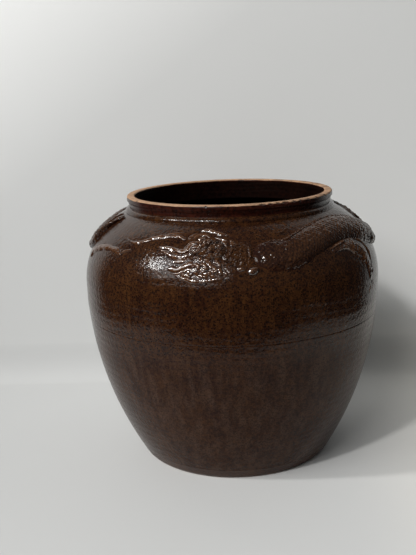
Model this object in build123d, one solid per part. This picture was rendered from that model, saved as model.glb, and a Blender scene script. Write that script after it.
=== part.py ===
"""A squat glazed stoneware storage jar with two dragons in relief round its shoulder.

The jar is modelled as the potter builds it: a slab base, two coiled wall sections luted
together at the belly, a thrown collar, and pressed or rolled sprigs of clay luted on the
shoulder. Millimetres, +Z up, origin at the centre of the standing face. Azimuths are in
degrees, 0 at the front (-Y) and growing towards +X.
"""

from build123d import *
from math import atan2, cos, radians, sin
import os

# Jar body
BELLY_RADIUS = 169.7
FOOT_RADIUS = 110.0
FOOT_ROUND = 8.0
BASE_THICKNESS = 12.0
BASE_HOLLOW_RADIUS = 78.0
BASE_HOLLOW_DEPTH = 2.5
LOWER_BULGE = 12.0
WALL = 9.0
FOOT_WALL = 13.0

# Heights, stacked from the luted seam up
SEAM_HEIGHT = 172.0
TAPER_RISE = 16.0
BELLY_RISE = 21.6
SHOULDER_RISE = 78.4

# Collar
COLLAR_HEIGHT = 18.0
COLLAR_WALL = 6.4
MOUTH_RADIUS = 109.0
COLLAR_WAIST = 0.5
LIP_OVERHANG = 2.4
LIP_HEIGHT = 5.0
LIP_ROUND = 1.8
LIP_BEVEL = 1.2
NECK_RING_HEIGHT = 4.6
NECK_RING_WIDTH = 4.6
NECK_RING_SWELL = 0.6
NECK_RING_GAP = 0.2

# Relief: how far a raw sprig reaches under the surface before it is trimmed to fit
SPRIG_BED = 3.0
BED_SHARE = 0.6
CREST_BED = 1.6

# Dragon body and neck
BODY_HALF_WIDTH = 17.0
BODY_RELIEF = 7.0
NECK_HALF_WIDTH = 13.0
NECK_RELIEF = 3.2

# Dragon head
SKULL_HALF_WIDTH = 11.5
SKULL_RELIEF = 6.5
JAW_HALF_WIDTH = 4.4
JAW_RELIEF = 4.4
CHIN_HALF_WIDTH = 3.2
CHIN_RELIEF = 3.2
TONGUE_HALF_WIDTH = 2.4
TONGUE_RELIEF = 1.8
BROW_HALF_WIDTH = 1.9
BROW_RELIEF = 1.9
HORN_HALF_WIDTH = 2.2
HORN_RELIEF = 2.2
WHISKER_HALF_WIDTH = 2.3
WHISKER_RELIEF = 2.0
LOCK_HALF_WIDTH = 2.7
LOCK_RELIEF = 2.7
EYE_HALF_WIDTH = 3.0
EYE_RELIEF = 1.6
KNOB_HALF_WIDTH = 4.4
KNOB_RELIEF = 2.8

# Dragon legs and the small flames beside its body
LEG_HALF_WIDTH = 8.6
LEG_RELIEF = 4.2
HIND_LEG_HALF_WIDTH = 5.2
HIND_LEG_RELIEF = 2.6
CLAW_HALF_WIDTH = 2.0
CLAW_RELIEF = 2.0
FLAME_HALF_WIDTH = 2.8
FLAME_RELIEF = 2.2

HALF_TURN = 180.0

# Routes on the shoulder: (azimuth, share of the shoulder's arc from its start to the neck
# foot), then the share of the sprig's half width and the share of its relief at that place.
BODY_SHARES = [
    (7.8, 0.550, 1.06, 0.62),
    (15.0, 0.528, 1.06, 0.80),
    (22.0, 0.525, 1.00, 0.88),
    (29.0, 0.600, 0.98, 0.94),
    (36.5, 0.668, 0.97, 1.00),
    (47.0, 0.730, 0.96, 1.06),
    (57.0, 0.722, 0.95, 1.10),
    (67.0, 0.645, 0.92, 1.06),
    (77.0, 0.545, 0.86, 0.95),
]
TAIL_SHARES = [
    (77.0, 0.545, 0.86, 0.95),
    (85.0, 0.480, 0.76, 0.82),
    (93.0, 0.485, 0.62, 0.70),
    (99.5, 0.580, 0.50, 0.60),
    (104.0, 0.720, 0.40, 0.50),
    (108.0, 0.850, 0.27, 0.38),
    (111.5, 0.945, 0.10, 0.16),
]
NECK_SHARES = [
    (-4.0, 0.575, 0.62, 0.70),
    (0.5, 0.580, 0.92, 1.00),
    (7.9, 0.590, 1.00, 1.00),
]
SKULL_SHARES = [
    (-16.0, 0.605, 0.40, 0.62),
    (-12.0, 0.620, 0.86, 0.95),
    (-7.0, 0.620, 1.00, 1.00),
    (-2.0, 0.600, 0.78, 0.66),
]
UPPER_JAW_SHARES = [
    (-14.0, 0.655, 1.00, 0.95),
    (-17.5, 0.590, 1.00, 1.00),
    (-22.0, 0.572, 0.86, 0.95),
    (-27.0, 0.605, 0.72, 0.85),
    (-30.5, 0.655, 0.40, 0.50),
]
LOWER_JAW_SHARES = [
    (-12.0, 0.500, 1.00, 0.90),
    (-17.0, 0.445, 1.00, 1.00),
    (-21.5, 0.390, 0.86, 0.95),
    (-25.5, 0.412, 0.40, 0.50),
]
TONGUE_SHARES = [
    (-15.5, 0.540, 0.90, 0.80),
    (-19.0, 0.492, 1.00, 1.00),
    (-23.5, 0.478, 0.40, 0.50),
]
BROW_SHARES = [
    (-16.2, 0.775, 0.60, 0.60),
    (-14.6, 0.865, 1.00, 1.00),
    (-10.6, 0.878, 1.00, 1.00),
    (-7.0, 0.800, 0.60, 0.60),
]
HORN_SHARES = [
    (-13.0, 0.950, 0.50, 0.60),
    (-9.0, 0.938, 1.00, 1.00),
    (-4.5, 0.880, 0.90, 0.95),
    (0.8, 0.815, 0.35, 0.45),
]
WHISKER_SHARES = [
    (-18.5, 0.765, 0.60, 0.60),
    (-24.5, 0.795, 1.00, 1.00),
    (-31.5, 0.770, 1.05, 1.00),
    (-38.0, 0.705, 0.95, 0.95),
    (-42.5, 0.662, 0.70, 0.75),
    (-49.0, 0.700, 0.25, 0.35),
]
# The beard's locks, from the long one under the chin to the short one by the neck
BEARD_SHARES = [
    [(-21.5, 0.345, 0.45, 0.50), (-17.0, 0.300, 1.00, 1.00), (-11.5, 0.285, 0.40, 0.45)],
    [(-14.8, 0.420, 0.90, 0.90), (-12.6, 0.372, 1.00, 1.00), (-12.2, 0.318, 0.40, 0.45)],
    [(-10.9, 0.450, 0.90, 0.90), (-8.6, 0.385, 1.00, 1.00), (-8.6, 0.318, 0.40, 0.45)],
    [(-7.1, 0.460, 0.90, 0.90), (-5.0, 0.390, 1.00, 1.00), (-5.2, 0.318, 0.40, 0.45)],
    [(-3.2, 0.450, 0.90, 0.90), (-1.3, 0.380, 1.00, 1.00), (-1.7, 0.312, 0.40, 0.45)],
]
FORE_LEG_SHARES = [
    (42.0, 0.475, 0.36, 0.55),
    (51.0, 0.515, 0.62, 0.90),
    (60.0, 0.420, 0.94, 1.05),
    (63.5, 0.230, 0.88, 0.95),
    (64.8, 0.020, 0.52, 0.70),
]
HIND_LEG_SHARES = [
    (104.0, 0.330, 0.60, 0.60),
    (109.0, 0.450, 1.00, 1.00),
    (117.0, 0.545, 0.95, 0.95),
    (126.0, 0.545, 0.70, 0.75),
    (131.5, 0.510, 0.60, 0.60),
]
# Each claw leaves the end of its leg: azimuth and share to go on by, then width and relief
CLAW_FANS = (-1.0, 0.0, 1.0)
FORE_CLAW_SHARES = [(0.6, -0.030, 1.00, 0.90), (2.9, -0.075, 1.00, 1.00), (4.4, -0.140, 0.30, 0.40)]
HIND_CLAW_SHARES = [(0.7, 0.012, 1.00, 0.80), (3.2, 0.045, 1.00, 0.90), (6.2, 0.060, 0.30, 0.40)]
FLAME_SHARES = [
    [(17.0, 0.835, 0.50, 0.60), (21.5, 0.820, 1.00, 1.00), (26.0, 0.890, 0.40, 0.45)],
    [(90.5, 0.690, 0.50, 0.60), (92.5, 0.800, 1.00, 1.00), (98.5, 0.890, 0.40, 0.45)],
]
EYE_SHARES = [(-13.4, 0.774, 0.40, 0.50), (-11.3, 0.788, 1.00, 1.00), (-9.2, 0.780, 0.40, 0.50)]
KNOB_SHARES = [(5.9, 0.352, 0.45, 0.50), (7.7, 0.378, 1.00, 1.00), (9.5, 0.402, 0.45, 0.50)]

taper_height = SEAM_HEIGHT + TAPER_RISE
shoulder_height = taper_height + BELLY_RISE
neck_foot_height = shoulder_height + SHOULDER_RISE
neck_foot_radius = MOUTH_RADIUS + COLLAR_WALL + NECK_RING_WIDTH
jar_height = neck_foot_height + COLLAR_HEIGHT

# The shoulder is one arc, upright where it leaves the belly and ending at the neck foot
shoulder_in = BELLY_RADIUS - neck_foot_radius
shoulder_arc_radius = (shoulder_in**2 + SHOULDER_RISE**2) / (2 * shoulder_in)
shoulder_centre = BELLY_RADIUS - shoulder_arc_radius
shoulder_sweep = atan2(SHOULDER_RISE, neck_foot_radius - shoulder_centre)
shoulder_length = shoulder_arc_radius * shoulder_sweep


def on_wall(azimuth, share, lift=0.0):
    """A point that far above the outside of the jar's upper wall."""
    if share >= 0:
        tilt = share * shoulder_sweep
        reach = shoulder_centre + (shoulder_arc_radius + lift) * cos(tilt)
        height = shoulder_height + (shoulder_arc_radius + lift) * sin(tilt)
    else:
        reach = BELLY_RADIUS + lift
        height = shoulder_height + share * shoulder_length
    turn = radians(azimuth)
    return Vector(reach * sin(turn), -reach * cos(turn), height)


def out_of_wall(azimuth, share):
    """The outward direction of the upper wall at that place."""
    tilt = max(share, 0) * shoulder_sweep
    turn = radians(azimuth)
    return Vector(cos(tilt) * sin(turn), -cos(tilt) * cos(turn), sin(tilt))


def envelope():
    """The jar's outside as a full solid, up to the neck foot."""
    kink = (BELLY_RADIUS, taper_height)
    foot = (FOOT_RADIUS, 0)
    edge = (neck_foot_radius, neck_foot_height)
    start = (BELLY_RADIUS, shoulder_height)
    with BuildPart() as made:
        with BuildSketch(Plane.XZ):
            with BuildLine():
                Line((0, 0), foot)
                SagittaArc(foot, kink, -LOWER_BULGE)
                Line(kink, start)
                TangentArc(start, edge, tangent=(0, 1))
                Line(edge, (0, neck_foot_height))
                Line((0, neck_foot_height), (0, 0))
            make_face()
        revolve(axis=Axis.Z)
        rim = made.edges().filter_by(GeomType.CIRCLE).group_by(Axis.Z)[0]
        fillet(rim, FOOT_ROUND)
    return made.part


def cavity():
    """The hollow inside, from the top of the base slab to the mouth."""
    foot = (FOOT_RADIUS - FOOT_WALL, BASE_THICKNESS)
    kink = (BELLY_RADIUS - WALL, taper_height)
    start = (BELLY_RADIUS - WALL, shoulder_height)
    inner_arc = shoulder_arc_radius - WALL
    reach = MOUTH_RADIUS - shoulder_centre
    throat = (MOUTH_RADIUS, shoulder_height + (inner_arc**2 - reach**2) ** 0.5)
    with BuildPart() as made:
        with BuildSketch(Plane.XZ):
            with BuildLine():
                Line((0, BASE_THICKNESS), foot)
                SagittaArc(foot, kink, -LOWER_BULGE)
                Line(kink, start)
                TangentArc(start, throat, tangent=(0, 1))
                Line(throat, (MOUTH_RADIUS, jar_height))
                Line((MOUTH_RADIUS, jar_height), (0, jar_height))
                Line((0, jar_height), (0, BASE_THICKNESS))
            make_face()
        revolve(axis=Axis.Z)
    return made.part


def walls(outside, inside):
    """The base slab, the lower wall and the upper wall, cut where the clay was joined."""
    hollow = Cylinder(BASE_HOLLOW_RADIUS, BASE_HOLLOW_DEPTH, align=(Align.CENTER, Align.CENTER, Align.MIN))
    slab_top = Plane.XY.offset(BASE_THICKNESS)
    seam = Plane.XY.offset(SEAM_HEIGHT)
    slab = split(outside, slab_top, keep=Keep.BOTTOM) - hollow
    ring = split(outside - inside, slab_top, keep=Keep.TOP)
    return {
        "base_slab": slab,
        "lower_wall": split(ring, seam, keep=Keep.BOTTOM),
        "upper_wall": split(ring, seam, keep=Keep.TOP),
    }


def collar():
    """The thrown neck with its flat unglazed lip, rounded outside and eased inside."""
    foot = MOUTH_RADIUS + COLLAR_WALL
    lip = foot + LIP_OVERHANG
    bead_top = neck_foot_height + NECK_RING_HEIGHT
    under_lip = jar_height - LIP_HEIGHT
    with BuildPart() as made:
        with BuildSketch(Plane.XZ) as outline:
            with BuildLine():
                Line((MOUTH_RADIUS, neck_foot_height), (foot, neck_foot_height))
                Line((foot, neck_foot_height), (foot, bead_top))
                SagittaArc((foot, bead_top), (lip, under_lip), COLLAR_WAIST)
                Line((lip, under_lip), (lip, jar_height))
                Line((lip, jar_height), (MOUTH_RADIUS, jar_height))
                Line((MOUTH_RADIUS, jar_height), (MOUTH_RADIUS, neck_foot_height))
            make_face()
            inner, outer = outline.vertices().group_by(Axis.Y)[-1].sort_by(Axis.X)
            fillet(outer, LIP_ROUND)
            chamfer(inner, LIP_BEVEL)
        revolve(axis=Axis.Z)
    return made.part


def neck_ring():
    """The bead of clay smoothed round the foot of the collar."""
    inner = MOUTH_RADIUS + COLLAR_WALL + NECK_RING_GAP
    outer = (neck_foot_radius, neck_foot_height)
    crown = (inner, neck_foot_height + NECK_RING_HEIGHT)
    with BuildPart() as made:
        with BuildSketch(Plane.XZ):
            with BuildLine():
                Line((inner, neck_foot_height), outer)
                SagittaArc(outer, crown, -NECK_RING_SWELL)
                Line(crown, (inner, neck_foot_height))
            make_face()
        revolve(axis=Axis.Z)
    return made.part


def domed(half_width, relief):
    """One arc that is that wide at the wall and that high, carried on down into the bed."""
    radius = (half_width**2 + relief**2) / (2 * relief)
    bed = min(SPRIG_BED, radius * BED_SHARE)
    half_base = (radius**2 - (relief + bed - radius) ** 2) ** 0.5
    arc = ThreePointArc((-half_base, -bed), (0, relief), (half_base, -bed))
    return [arc, Line((half_base, -bed), (-half_base, -bed))]


def crested(half_width, relief):
    """Two slopes pinched up to a crest, carried on down into the bed."""
    half_base = half_width * (1 + CREST_BED / relief)
    return [Polyline((-half_base, -CREST_BED), (0, relief), (half_base, -CREST_BED), close=True)]


def ridge(route, half_width, relief, section=crested):
    """A tapering sprig along a route on the wall, before it is trimmed to fit."""
    places = [on_wall(azimuth, share) for azimuth, share, _, _ in route]
    wires = []
    for i, (azimuth, share, wide, high) in enumerate(route):
        out = out_of_wall(azimuth, share)
        along = places[min(i + 1, len(route) - 1)] - places[max(i - 1, 0)]
        along = (along - out * along.dot(out)).normalized()
        across = Plane(origin=places[i], x_dir=along.cross(out), z_dir=-along)
        edges = [edge for curve in section(half_width * wide, relief * high) for edge in curve.edges()]
        wires.append(across * Wire(edges))
    return Solid.make_loft(wires)


def fitted(raw, *under):
    """A sprig trimmed to sit face to face on what was laid before it."""
    for other in under:
        raw = raw - other
    return raw.solids().sort_by(SortBy.VOLUME)[-1]


def fan(leg_route, claw_route, jar, leg):
    """The claws that spread from the end of a leg, each trimmed against the last."""
    azimuth, share, _, _ = leg_route[-1]
    claws = []
    for spread in CLAW_FANS:
        route = []
        for onward, climb, wide, high in claw_route:
            route.append((azimuth + onward * spread, share + climb, wide, high))
        claws.append(fitted(ridge(route, CLAW_HALF_WIDTH, CLAW_RELIEF), jar, leg, *claws))
    return claws


def dragon(jar):
    """One dragon's sprigs, each trimmed against the jar and the sprigs laid before it."""
    knob = fitted(ridge(KNOB_SHARES, KNOB_HALF_WIDTH, KNOB_RELIEF, domed), jar)
    body = fitted(ridge(BODY_SHARES, BODY_HALF_WIDTH, BODY_RELIEF, domed), jar, knob)
    tail = fitted(ridge(TAIL_SHARES, BODY_HALF_WIDTH, BODY_RELIEF, domed), jar, body)
    neck = fitted(ridge(NECK_SHARES, NECK_HALF_WIDTH, NECK_RELIEF, domed), jar, body, knob)
    skull = fitted(ridge(SKULL_SHARES, SKULL_HALF_WIDTH, SKULL_RELIEF, domed), jar, neck)
    upper = fitted(ridge(UPPER_JAW_SHARES, JAW_HALF_WIDTH, JAW_RELIEF), jar, skull)
    lower = fitted(ridge(LOWER_JAW_SHARES, CHIN_HALF_WIDTH, CHIN_RELIEF), jar, skull, upper)
    tongue = fitted(ridge(TONGUE_SHARES, TONGUE_HALF_WIDTH, TONGUE_RELIEF), jar, skull, upper, lower)
    eye = fitted(ridge(EYE_SHARES, EYE_HALF_WIDTH, EYE_RELIEF, domed), jar, skull)
    brow = fitted(ridge(BROW_SHARES, BROW_HALF_WIDTH, BROW_RELIEF), jar, skull, eye)
    horn = fitted(ridge(HORN_SHARES, HORN_HALF_WIDTH, HORN_RELIEF), jar, brow)
    whisker = fitted(ridge(WHISKER_SHARES, WHISKER_HALF_WIDTH, WHISKER_RELIEF), jar, brow)
    fore_leg = fitted(ridge(FORE_LEG_SHARES, LEG_HALF_WIDTH, LEG_RELIEF, domed), jar, body)
    hind_leg = fitted(ridge(HIND_LEG_SHARES, HIND_LEG_HALF_WIDTH, HIND_LEG_RELIEF), jar, tail)
    beard = []
    for route in BEARD_SHARES:
        lock = ridge(route, LOCK_HALF_WIDTH, LOCK_RELIEF)
        beard.append(fitted(lock, jar, skull, lower, neck, *beard))
    flames = []
    for route in FLAME_SHARES:
        flames.append(fitted(ridge(route, FLAME_HALF_WIDTH, FLAME_RELIEF), jar, body, tail))
    main_forms = {"body": body, "tail": tail, "neck": neck, "skull": skull, "fore_leg": fore_leg}
    small_forms = {
        "hind_legs": [hind_leg],
        "fore_claws": fan(FORE_LEG_SHARES, FORE_CLAW_SHARES, jar, fore_leg),
        "hind_claws": fan(HIND_LEG_SHARES, HIND_CLAW_SHARES, jar, hind_leg),
        "upper_jaws": [upper],
        "lower_jaws": [lower],
        "tongues": [tongue],
        "eyes": [eye],
        "brows": [brow],
        "horns": [horn],
        "whiskers": [whisker],
        "beards": beard,
        "flames": flames,
        "knobs": [knob],
    }
    return main_forms, small_forms


def main():
    os.makedirs("parts", exist_ok=True)
    outside = envelope()
    nodes = walls(outside, cavity())
    nodes["neck_collar"] = collar()
    nodes["neck_ring"] = neck_ring()
    main_forms, small_forms = dragon(outside)
    for name, shape in main_forms.items():
        nodes[f"front_dragon_{name}"] = shape
        nodes[f"back_dragon_{name}"] = shape.rotate(Axis.Z, HALF_TURN)
    for name, shapes in small_forms.items():
        nodes[f"dragon_{name}"] = Compound(shapes + [shape.rotate(Axis.Z, HALF_TURN) for shape in shapes])
    for name, shape in nodes.items():
        export_step(shape, f"parts/{name}.step")


main()
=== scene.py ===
# %% [markdown]
# # A glazed stoneware storage jar with two dragons in relief
# The real jar is a squat pot for pickles, oil or wine. A potter built it from a slab and
# coiled walls, threw the collar on the wheel, and luted two dragons of rolled and pressed
# clay round the shoulder before the whole pot was dipped in a dark iron glaze.
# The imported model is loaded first, as a fixed frame. Every piece made below either keeps one
# of its nodes or stands for one, in the same place and in metres.

# %% Load the frame
from math import atan2, cos, pi, radians, sin, sqrt

import bmesh
import bpy
import numpy as np
from mathutils import Matrix, Vector


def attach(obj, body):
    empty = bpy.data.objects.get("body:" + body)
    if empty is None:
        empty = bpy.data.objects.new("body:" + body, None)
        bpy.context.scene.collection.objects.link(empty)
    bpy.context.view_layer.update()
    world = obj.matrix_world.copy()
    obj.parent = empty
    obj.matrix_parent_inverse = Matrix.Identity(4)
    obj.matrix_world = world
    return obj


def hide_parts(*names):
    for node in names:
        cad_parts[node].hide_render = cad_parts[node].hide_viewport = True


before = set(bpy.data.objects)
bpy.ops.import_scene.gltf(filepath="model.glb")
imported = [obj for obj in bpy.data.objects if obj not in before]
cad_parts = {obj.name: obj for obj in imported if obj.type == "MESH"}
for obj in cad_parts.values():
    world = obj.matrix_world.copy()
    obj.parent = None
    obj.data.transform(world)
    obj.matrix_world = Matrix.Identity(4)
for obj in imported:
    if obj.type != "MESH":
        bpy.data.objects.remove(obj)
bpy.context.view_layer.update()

# %% [markdown]
# ## Sizes of the jar
# The outline of the pot is set by a few sizes: the radius of its foot, belly and mouth, and
# the heights stacked from the luted seam up. They could be read off the imported boxes alone,
# but the curves between need a bulge and an arc too, so the sizes are named here as the maker
# would name them, in millimetres.

# %% Name the sizes
MM = 0.001
FOOT_RADIUS = 110.0
FOOT_ROUND = 8.0
BASE_THICKNESS = 12.0
BASE_HOLLOW_RADIUS = 78.0
BASE_HOLLOW_DEPTH = 2.5
BELLY_RADIUS = 169.7
LOWER_BULGE = 12.0
WALL = 9.0
FOOT_WALL = 13.0
SEAM_HEIGHT = 172.0
TAPER_HEIGHT = 188.0
SHOULDER_HEIGHT = 209.6
NECK_FOOT_HEIGHT = 288.0
NECK_FOOT_RADIUS = 120.0
MOUTH_RADIUS = 109.0
COLLAR_WALL = 6.4
COLLAR_HEIGHT = 18.0

shoulder_in = BELLY_RADIUS - NECK_FOOT_RADIUS
shoulder_up = NECK_FOOT_HEIGHT - SHOULDER_HEIGHT
shoulder_arc_radius = (shoulder_in**2 + shoulder_up**2) / (2 * shoulder_in)
shoulder_centre = BELLY_RADIUS - shoulder_arc_radius
shoulder_sweep = atan2(shoulder_up, NECK_FOOT_RADIUS - shoulder_centre)
shoulder_length = shoulder_arc_radius * shoulder_sweep
jar_height = NECK_FOOT_HEIGHT + COLLAR_HEIGHT

# %% [markdown]
# ## The camera
# The photograph looks slightly down at the jar from the front. The jar stands a little right
# of the picture's centre, and the camera is rolled by two degrees. The view was found by
# matching the rim, the belly and the foot, so the numbers are the place of a real camera
# about a metre away.

# %% Set up the camera
CAMERA_PLACE = Vector((0.0, -0.9597, 0.4298))
CAMERA_TURN = radians(1.67)
CAMERA_PITCH = radians(13.25)
CAMERA_ROLL = radians(-2.08)
CAMERA_LENS = 54.03
CAMERA_SENSOR = 36.0


def set_up_camera():
    data = bpy.data.cameras.new("photograph_view")
    data.lens = CAMERA_LENS
    data.sensor_width = CAMERA_SENSOR
    camera = bpy.data.objects.new("photograph_view", data)
    bpy.context.scene.collection.objects.link(camera)
    turn = Matrix.Rotation(CAMERA_TURN, 4, "Z")
    pitch = Matrix.Rotation(pi / 2 - CAMERA_PITCH, 4, "X")
    roll = Matrix.Rotation(CAMERA_ROLL, 4, "Z")
    camera.matrix_world = Matrix.Translation(CAMERA_PLACE) @ turn @ pitch @ roll
    bpy.context.scene.camera = camera
    print("camera stands", round(CAMERA_PLACE.length, 3), "m from the jar's foot")


set_up_camera()

# %% [markdown]
# ## Node helpers
# Geometry trees and shader groups are both built from nodes. Small helpers make a tree with
# its named sockets, add a node with its settings, and write a sum, a noise or a change of
# range in one line, so that each tree below reads as a list of what it does.

# %% Helpers for trees
SOCKETS = {
    "geometry": "NodeSocketGeometry",
    "material": "NodeSocketMaterial",
    "vector": "NodeSocketVector",
    "number": "NodeSocketFloat",
    "colour": "NodeSocketColor",
    float: "NodeSocketFloat",
    int: "NodeSocketInt",
    tuple: "NodeSocketColor",
}


def new_tree(name, kind, inputs, outputs):
    """A tree, what it is given and the node it ends in. An input names its kind or its start."""
    tree = bpy.data.node_groups.new(name, kind)
    for label, start in inputs.items():
        named = isinstance(start, str)
        socket_type = SOCKETS[start if named else type(start)]
        socket = tree.interface.new_socket(label, in_out="INPUT", socket_type=socket_type)
        if not named:
            socket.default_value = start
    for label, output in outputs.items():
        tree.interface.new_socket(label, in_out="OUTPUT", socket_type=SOCKETS[output])
    return tree, tree.nodes.new("NodeGroupInput").outputs, tree.nodes.new("NodeGroupOutput")


def feed(tree, node, *links):
    """Feed a node; each link is a socket and what goes in, another socket or a plain value."""
    for socket, source in links:
        if isinstance(source, bpy.types.NodeSocket):
            tree.links.new(source, node.inputs[socket])
        else:
            node.inputs[socket].default_value = source


def add(tree, kind, *links, **settings):
    """Add one node with its settings, and feed it."""
    node = tree.nodes.new(kind)
    for name, value in settings.items():
        setattr(node, name, value)
    feed(tree, node, *links)
    return node


# %% Helpers for sums and textures
def reckon(tree, operation, *values):
    """One Math node on those sockets or numbers."""
    return add(tree, "ShaderNodeMath", *enumerate(values), operation=operation).outputs[0]


def reckon_vector(tree, operation, *values):
    """One Vector Math node on those sockets or vectors."""
    return add(tree, "ShaderNodeVectorMath", *enumerate(values), operation=operation).outputs[0]


def axes(tree, place):
    """The three numbers of a place."""
    return add(tree, "ShaderNodeSeparateXYZ", (0, place)).outputs


def noise(tree, place, scale, detail, seed=None):
    """Noise at a place, its scale in waves to the metre. A seed picks another slice of it."""
    links = [("Vector", place), ("Scale", scale), ("Detail", detail)]
    if seed is None:
        return add(tree, "ShaderNodeTexNoise", *links).outputs[0]
    return add(tree, "ShaderNodeTexNoise", *links, ("W", seed), noise_dimensions="4D").outputs[0]


def ramp(tree, value, low, high, first=0.0, last=1.0, kind="LINEAR"):
    """Carry a value from one range into another, and no further."""
    links = [("Value", value), ("From Min", low), ("From Max", high)]
    links += [("To Min", first), ("To Max", last)]
    return add(tree, "ShaderNodeMapRange", *links, interpolation_type=kind).outputs[0]


def eased(tree, value, low, high, first=0.0, last=1.0):
    """The same, with a soft start and a soft end."""
    return ramp(tree, value, low, high, first, last, "SMOOTHSTEP")


def blend_colours(tree, share, first, second):
    """From the first colour to the second as the share goes from 0 to 1."""
    node = add(tree, "ShaderNodeMix", ("Factor", share), (6, first), (7, second), data_type="RGBA")
    return node.outputs[2]


# %% Helpers for pieces
def new_object(name, mesh):
    piece = bpy.data.objects.new(name, mesh)
    bpy.context.scene.collection.objects.link(piece)
    return piece


def mark_points(mesh, label, values):
    """Store a number at each point, for the trees and the materials to read."""
    mesh.attributes.new(label, "FLOAT", "POINT").data.foreach_set("value", values)


def with_tree(piece, tree, values):
    """Run a geometry tree on a piece, keep the result as its plain mesh and drop the tree."""
    modifier = piece.modifiers.new("tree", "NODES")
    modifier.node_group = tree
    for item in tree.interface.items_tree:
        if item.item_type == "SOCKET" and item.in_out == "INPUT" and item.name in values:
            modifier[item.identifier] = values[item.name]
    graph = bpy.context.evaluated_depsgraph_get()
    made = bpy.data.meshes.new_from_object(
        piece.evaluated_get(graph), preserve_all_data_layers=True, depsgraph=graph
    )
    piece.modifiers.remove(modifier)
    piece.data = made


def face_outwards(mesh, weld=0.0):
    """Weld a closed mesh, turn its faces outwards, and say how large and how closed it is."""
    shape = bmesh.new()
    shape.from_mesh(mesh)
    if weld:
        bmesh.ops.remove_doubles(shape, verts=shape.verts, dist=weld)
    bmesh.ops.recalc_face_normals(shape, faces=shape.faces)
    if shape.calc_volume(signed=True) < 0:
        bmesh.ops.reverse_faces(shape, faces=shape.faces)
    volume = shape.calc_volume(signed=True) * 1e6
    open_edges = sum(1 for edge in shape.edges if not edge.is_manifold)
    shape.to_mesh(mesh)
    shape.free()
    return f"{volume:.2f} cm3, {open_edges} open edges"


def stand_for(piece, *nodes, slot):
    """Hand a finished piece to the frame in place of its nodes."""
    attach(piece, "root")
    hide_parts(*nodes)


# %% [markdown]
# ## Glaze effects as shader groups
# One glaze covers the whole pot, so its effects are groups that every material shares: dark
# iron specks, the change between thin amber and thick dark glaze, grain and pinholes for the
# bump, the rings that the potter's fingers leave, glaze that has run down the wall, and the
# wavering line where it stops. Painted textures could carry them too, but they would need an
# unwrapped pot and would blur close up. Sizes in the groups are in metres, and a value whose
# name ends in NOISE holds the scale and the detail of a noise.

# %% Kiln specks
BEND_SCALE, BEND_DETAIL = 400.0, 2.0
SPECK_BEND = (0.0012, 0.0012, 0.0012)


def kiln_specks():
    tree, given, made = new_tree(
        "kiln specks", "ShaderNodeTree",
        {"Vector": "vector", "Speck Size": 0.0016, "Share": 0.5, "Softness": 0.25},
        {"Mask": "number"},
    )
    links = (("Vector", given["Vector"]), ("Scale", BEND_SCALE), ("Detail", BEND_DETAIL))
    bend = add(tree, "ShaderNodeTexNoise", *links).outputs["Color"]
    shift = reckon_vector(tree, "MULTIPLY", bend, SPECK_BEND)
    place = reckon_vector(tree, "ADD", given["Vector"], shift)
    scale = reckon(tree, "DIVIDE", 1.0, given["Speck Size"])
    cells = add(tree, "ShaderNodeTexVoronoi", ("Vector", place), ("Scale", scale)).outputs
    chance = add(tree, "ShaderNodeSeparateColor", ("Color", cells["Color"])).outputs[0]
    reach = reckon(tree, "MULTIPLY", chance, given["Share"])
    inner = reckon(tree, "SUBTRACT", reach, given["Softness"])
    feed(tree, made, ("Mask", ramp(tree, cells["Distance"], inner, reach, 1.0, 0.0)))
    return tree


# %% Glaze depth
BROAD_SHARE, FINE_SHARE = 0.5, 0.9
BROAD_DETAIL, FINE_DETAIL = 4.0, 3.0
FINE_IN_A_PATCH = 9.0
THIN_FROM, THIN_TO = 0.5, 0.95


def glaze_depth():
    tree, given, made = new_tree(
        "glaze depth", "ShaderNodeTree",
        {
            "Vector": "vector", "Thin Colour": (0.1, 0.045, 0.02, 1),
            "Thick Colour": (0.03, 0.012, 0.007, 1), "Patch Size": 0.03, "Thinness": 0.0,
        },
        {"Colour": "colour", "Thin Share": "number"},
    )
    place, patch = given["Vector"], given["Patch Size"]
    broad = noise(tree, place, reckon(tree, "DIVIDE", 1.0, patch), BROAD_DETAIL)
    fine = noise(tree, place, reckon(tree, "DIVIDE", FINE_IN_A_PATCH, patch), FINE_DETAIL)
    broad = reckon(tree, "MULTIPLY", broad, BROAD_SHARE)
    both = reckon(tree, "MULTIPLY_ADD", fine, FINE_SHARE, broad)
    share = ramp(tree, reckon(tree, "ADD", both, given["Thinness"]), THIN_FROM, THIN_TO)
    colour = blend_colours(tree, share, given["Thick Colour"], given["Thin Colour"])
    feed(tree, made, ("Colour", colour), ("Thin Share", share))
    return tree


# %% Grain and pinholes
PINHOLE_FLOOR, PINHOLE_RIM = 0.03, 0.1
GRAIN_DETAIL = 3.0


def grain_and_pinholes():
    tree, given, made = new_tree(
        "grain and pinholes", "ShaderNodeTree",
        {
            "Vector": "vector", "Grain Size": 0.0012, "Grain": 0.5,
            "Pinhole Spacing": 0.012, "Pinhole": 0.5,
        },
        {"Height": "number"},
    )
    place = given["Vector"]
    grain_scale = reckon(tree, "DIVIDE", 1.0, given["Grain Size"])
    grain = noise(tree, place, grain_scale, GRAIN_DETAIL)
    hole_scale = reckon(tree, "DIVIDE", 1.0, given["Pinhole Spacing"])
    holes = add(tree, "ShaderNodeTexVoronoi", ("Vector", place), ("Scale", hole_scale))
    depth = eased(tree, holes.outputs["Distance"], PINHOLE_FLOOR, PINHOLE_RIM, 1.0, 0.0)
    raised = reckon(tree, "MULTIPLY", grain, given["Grain"])
    sunk = reckon(tree, "MULTIPLY", depth, given["Pinhole"])
    feed(tree, made, ("Height", reckon(tree, "SUBTRACT", raised, sunk)))
    return tree


# %% Finger rings
SLOW_NOISE = (9.0, 1.0)
RING_NOISE = (1.0, 2.0)


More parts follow.
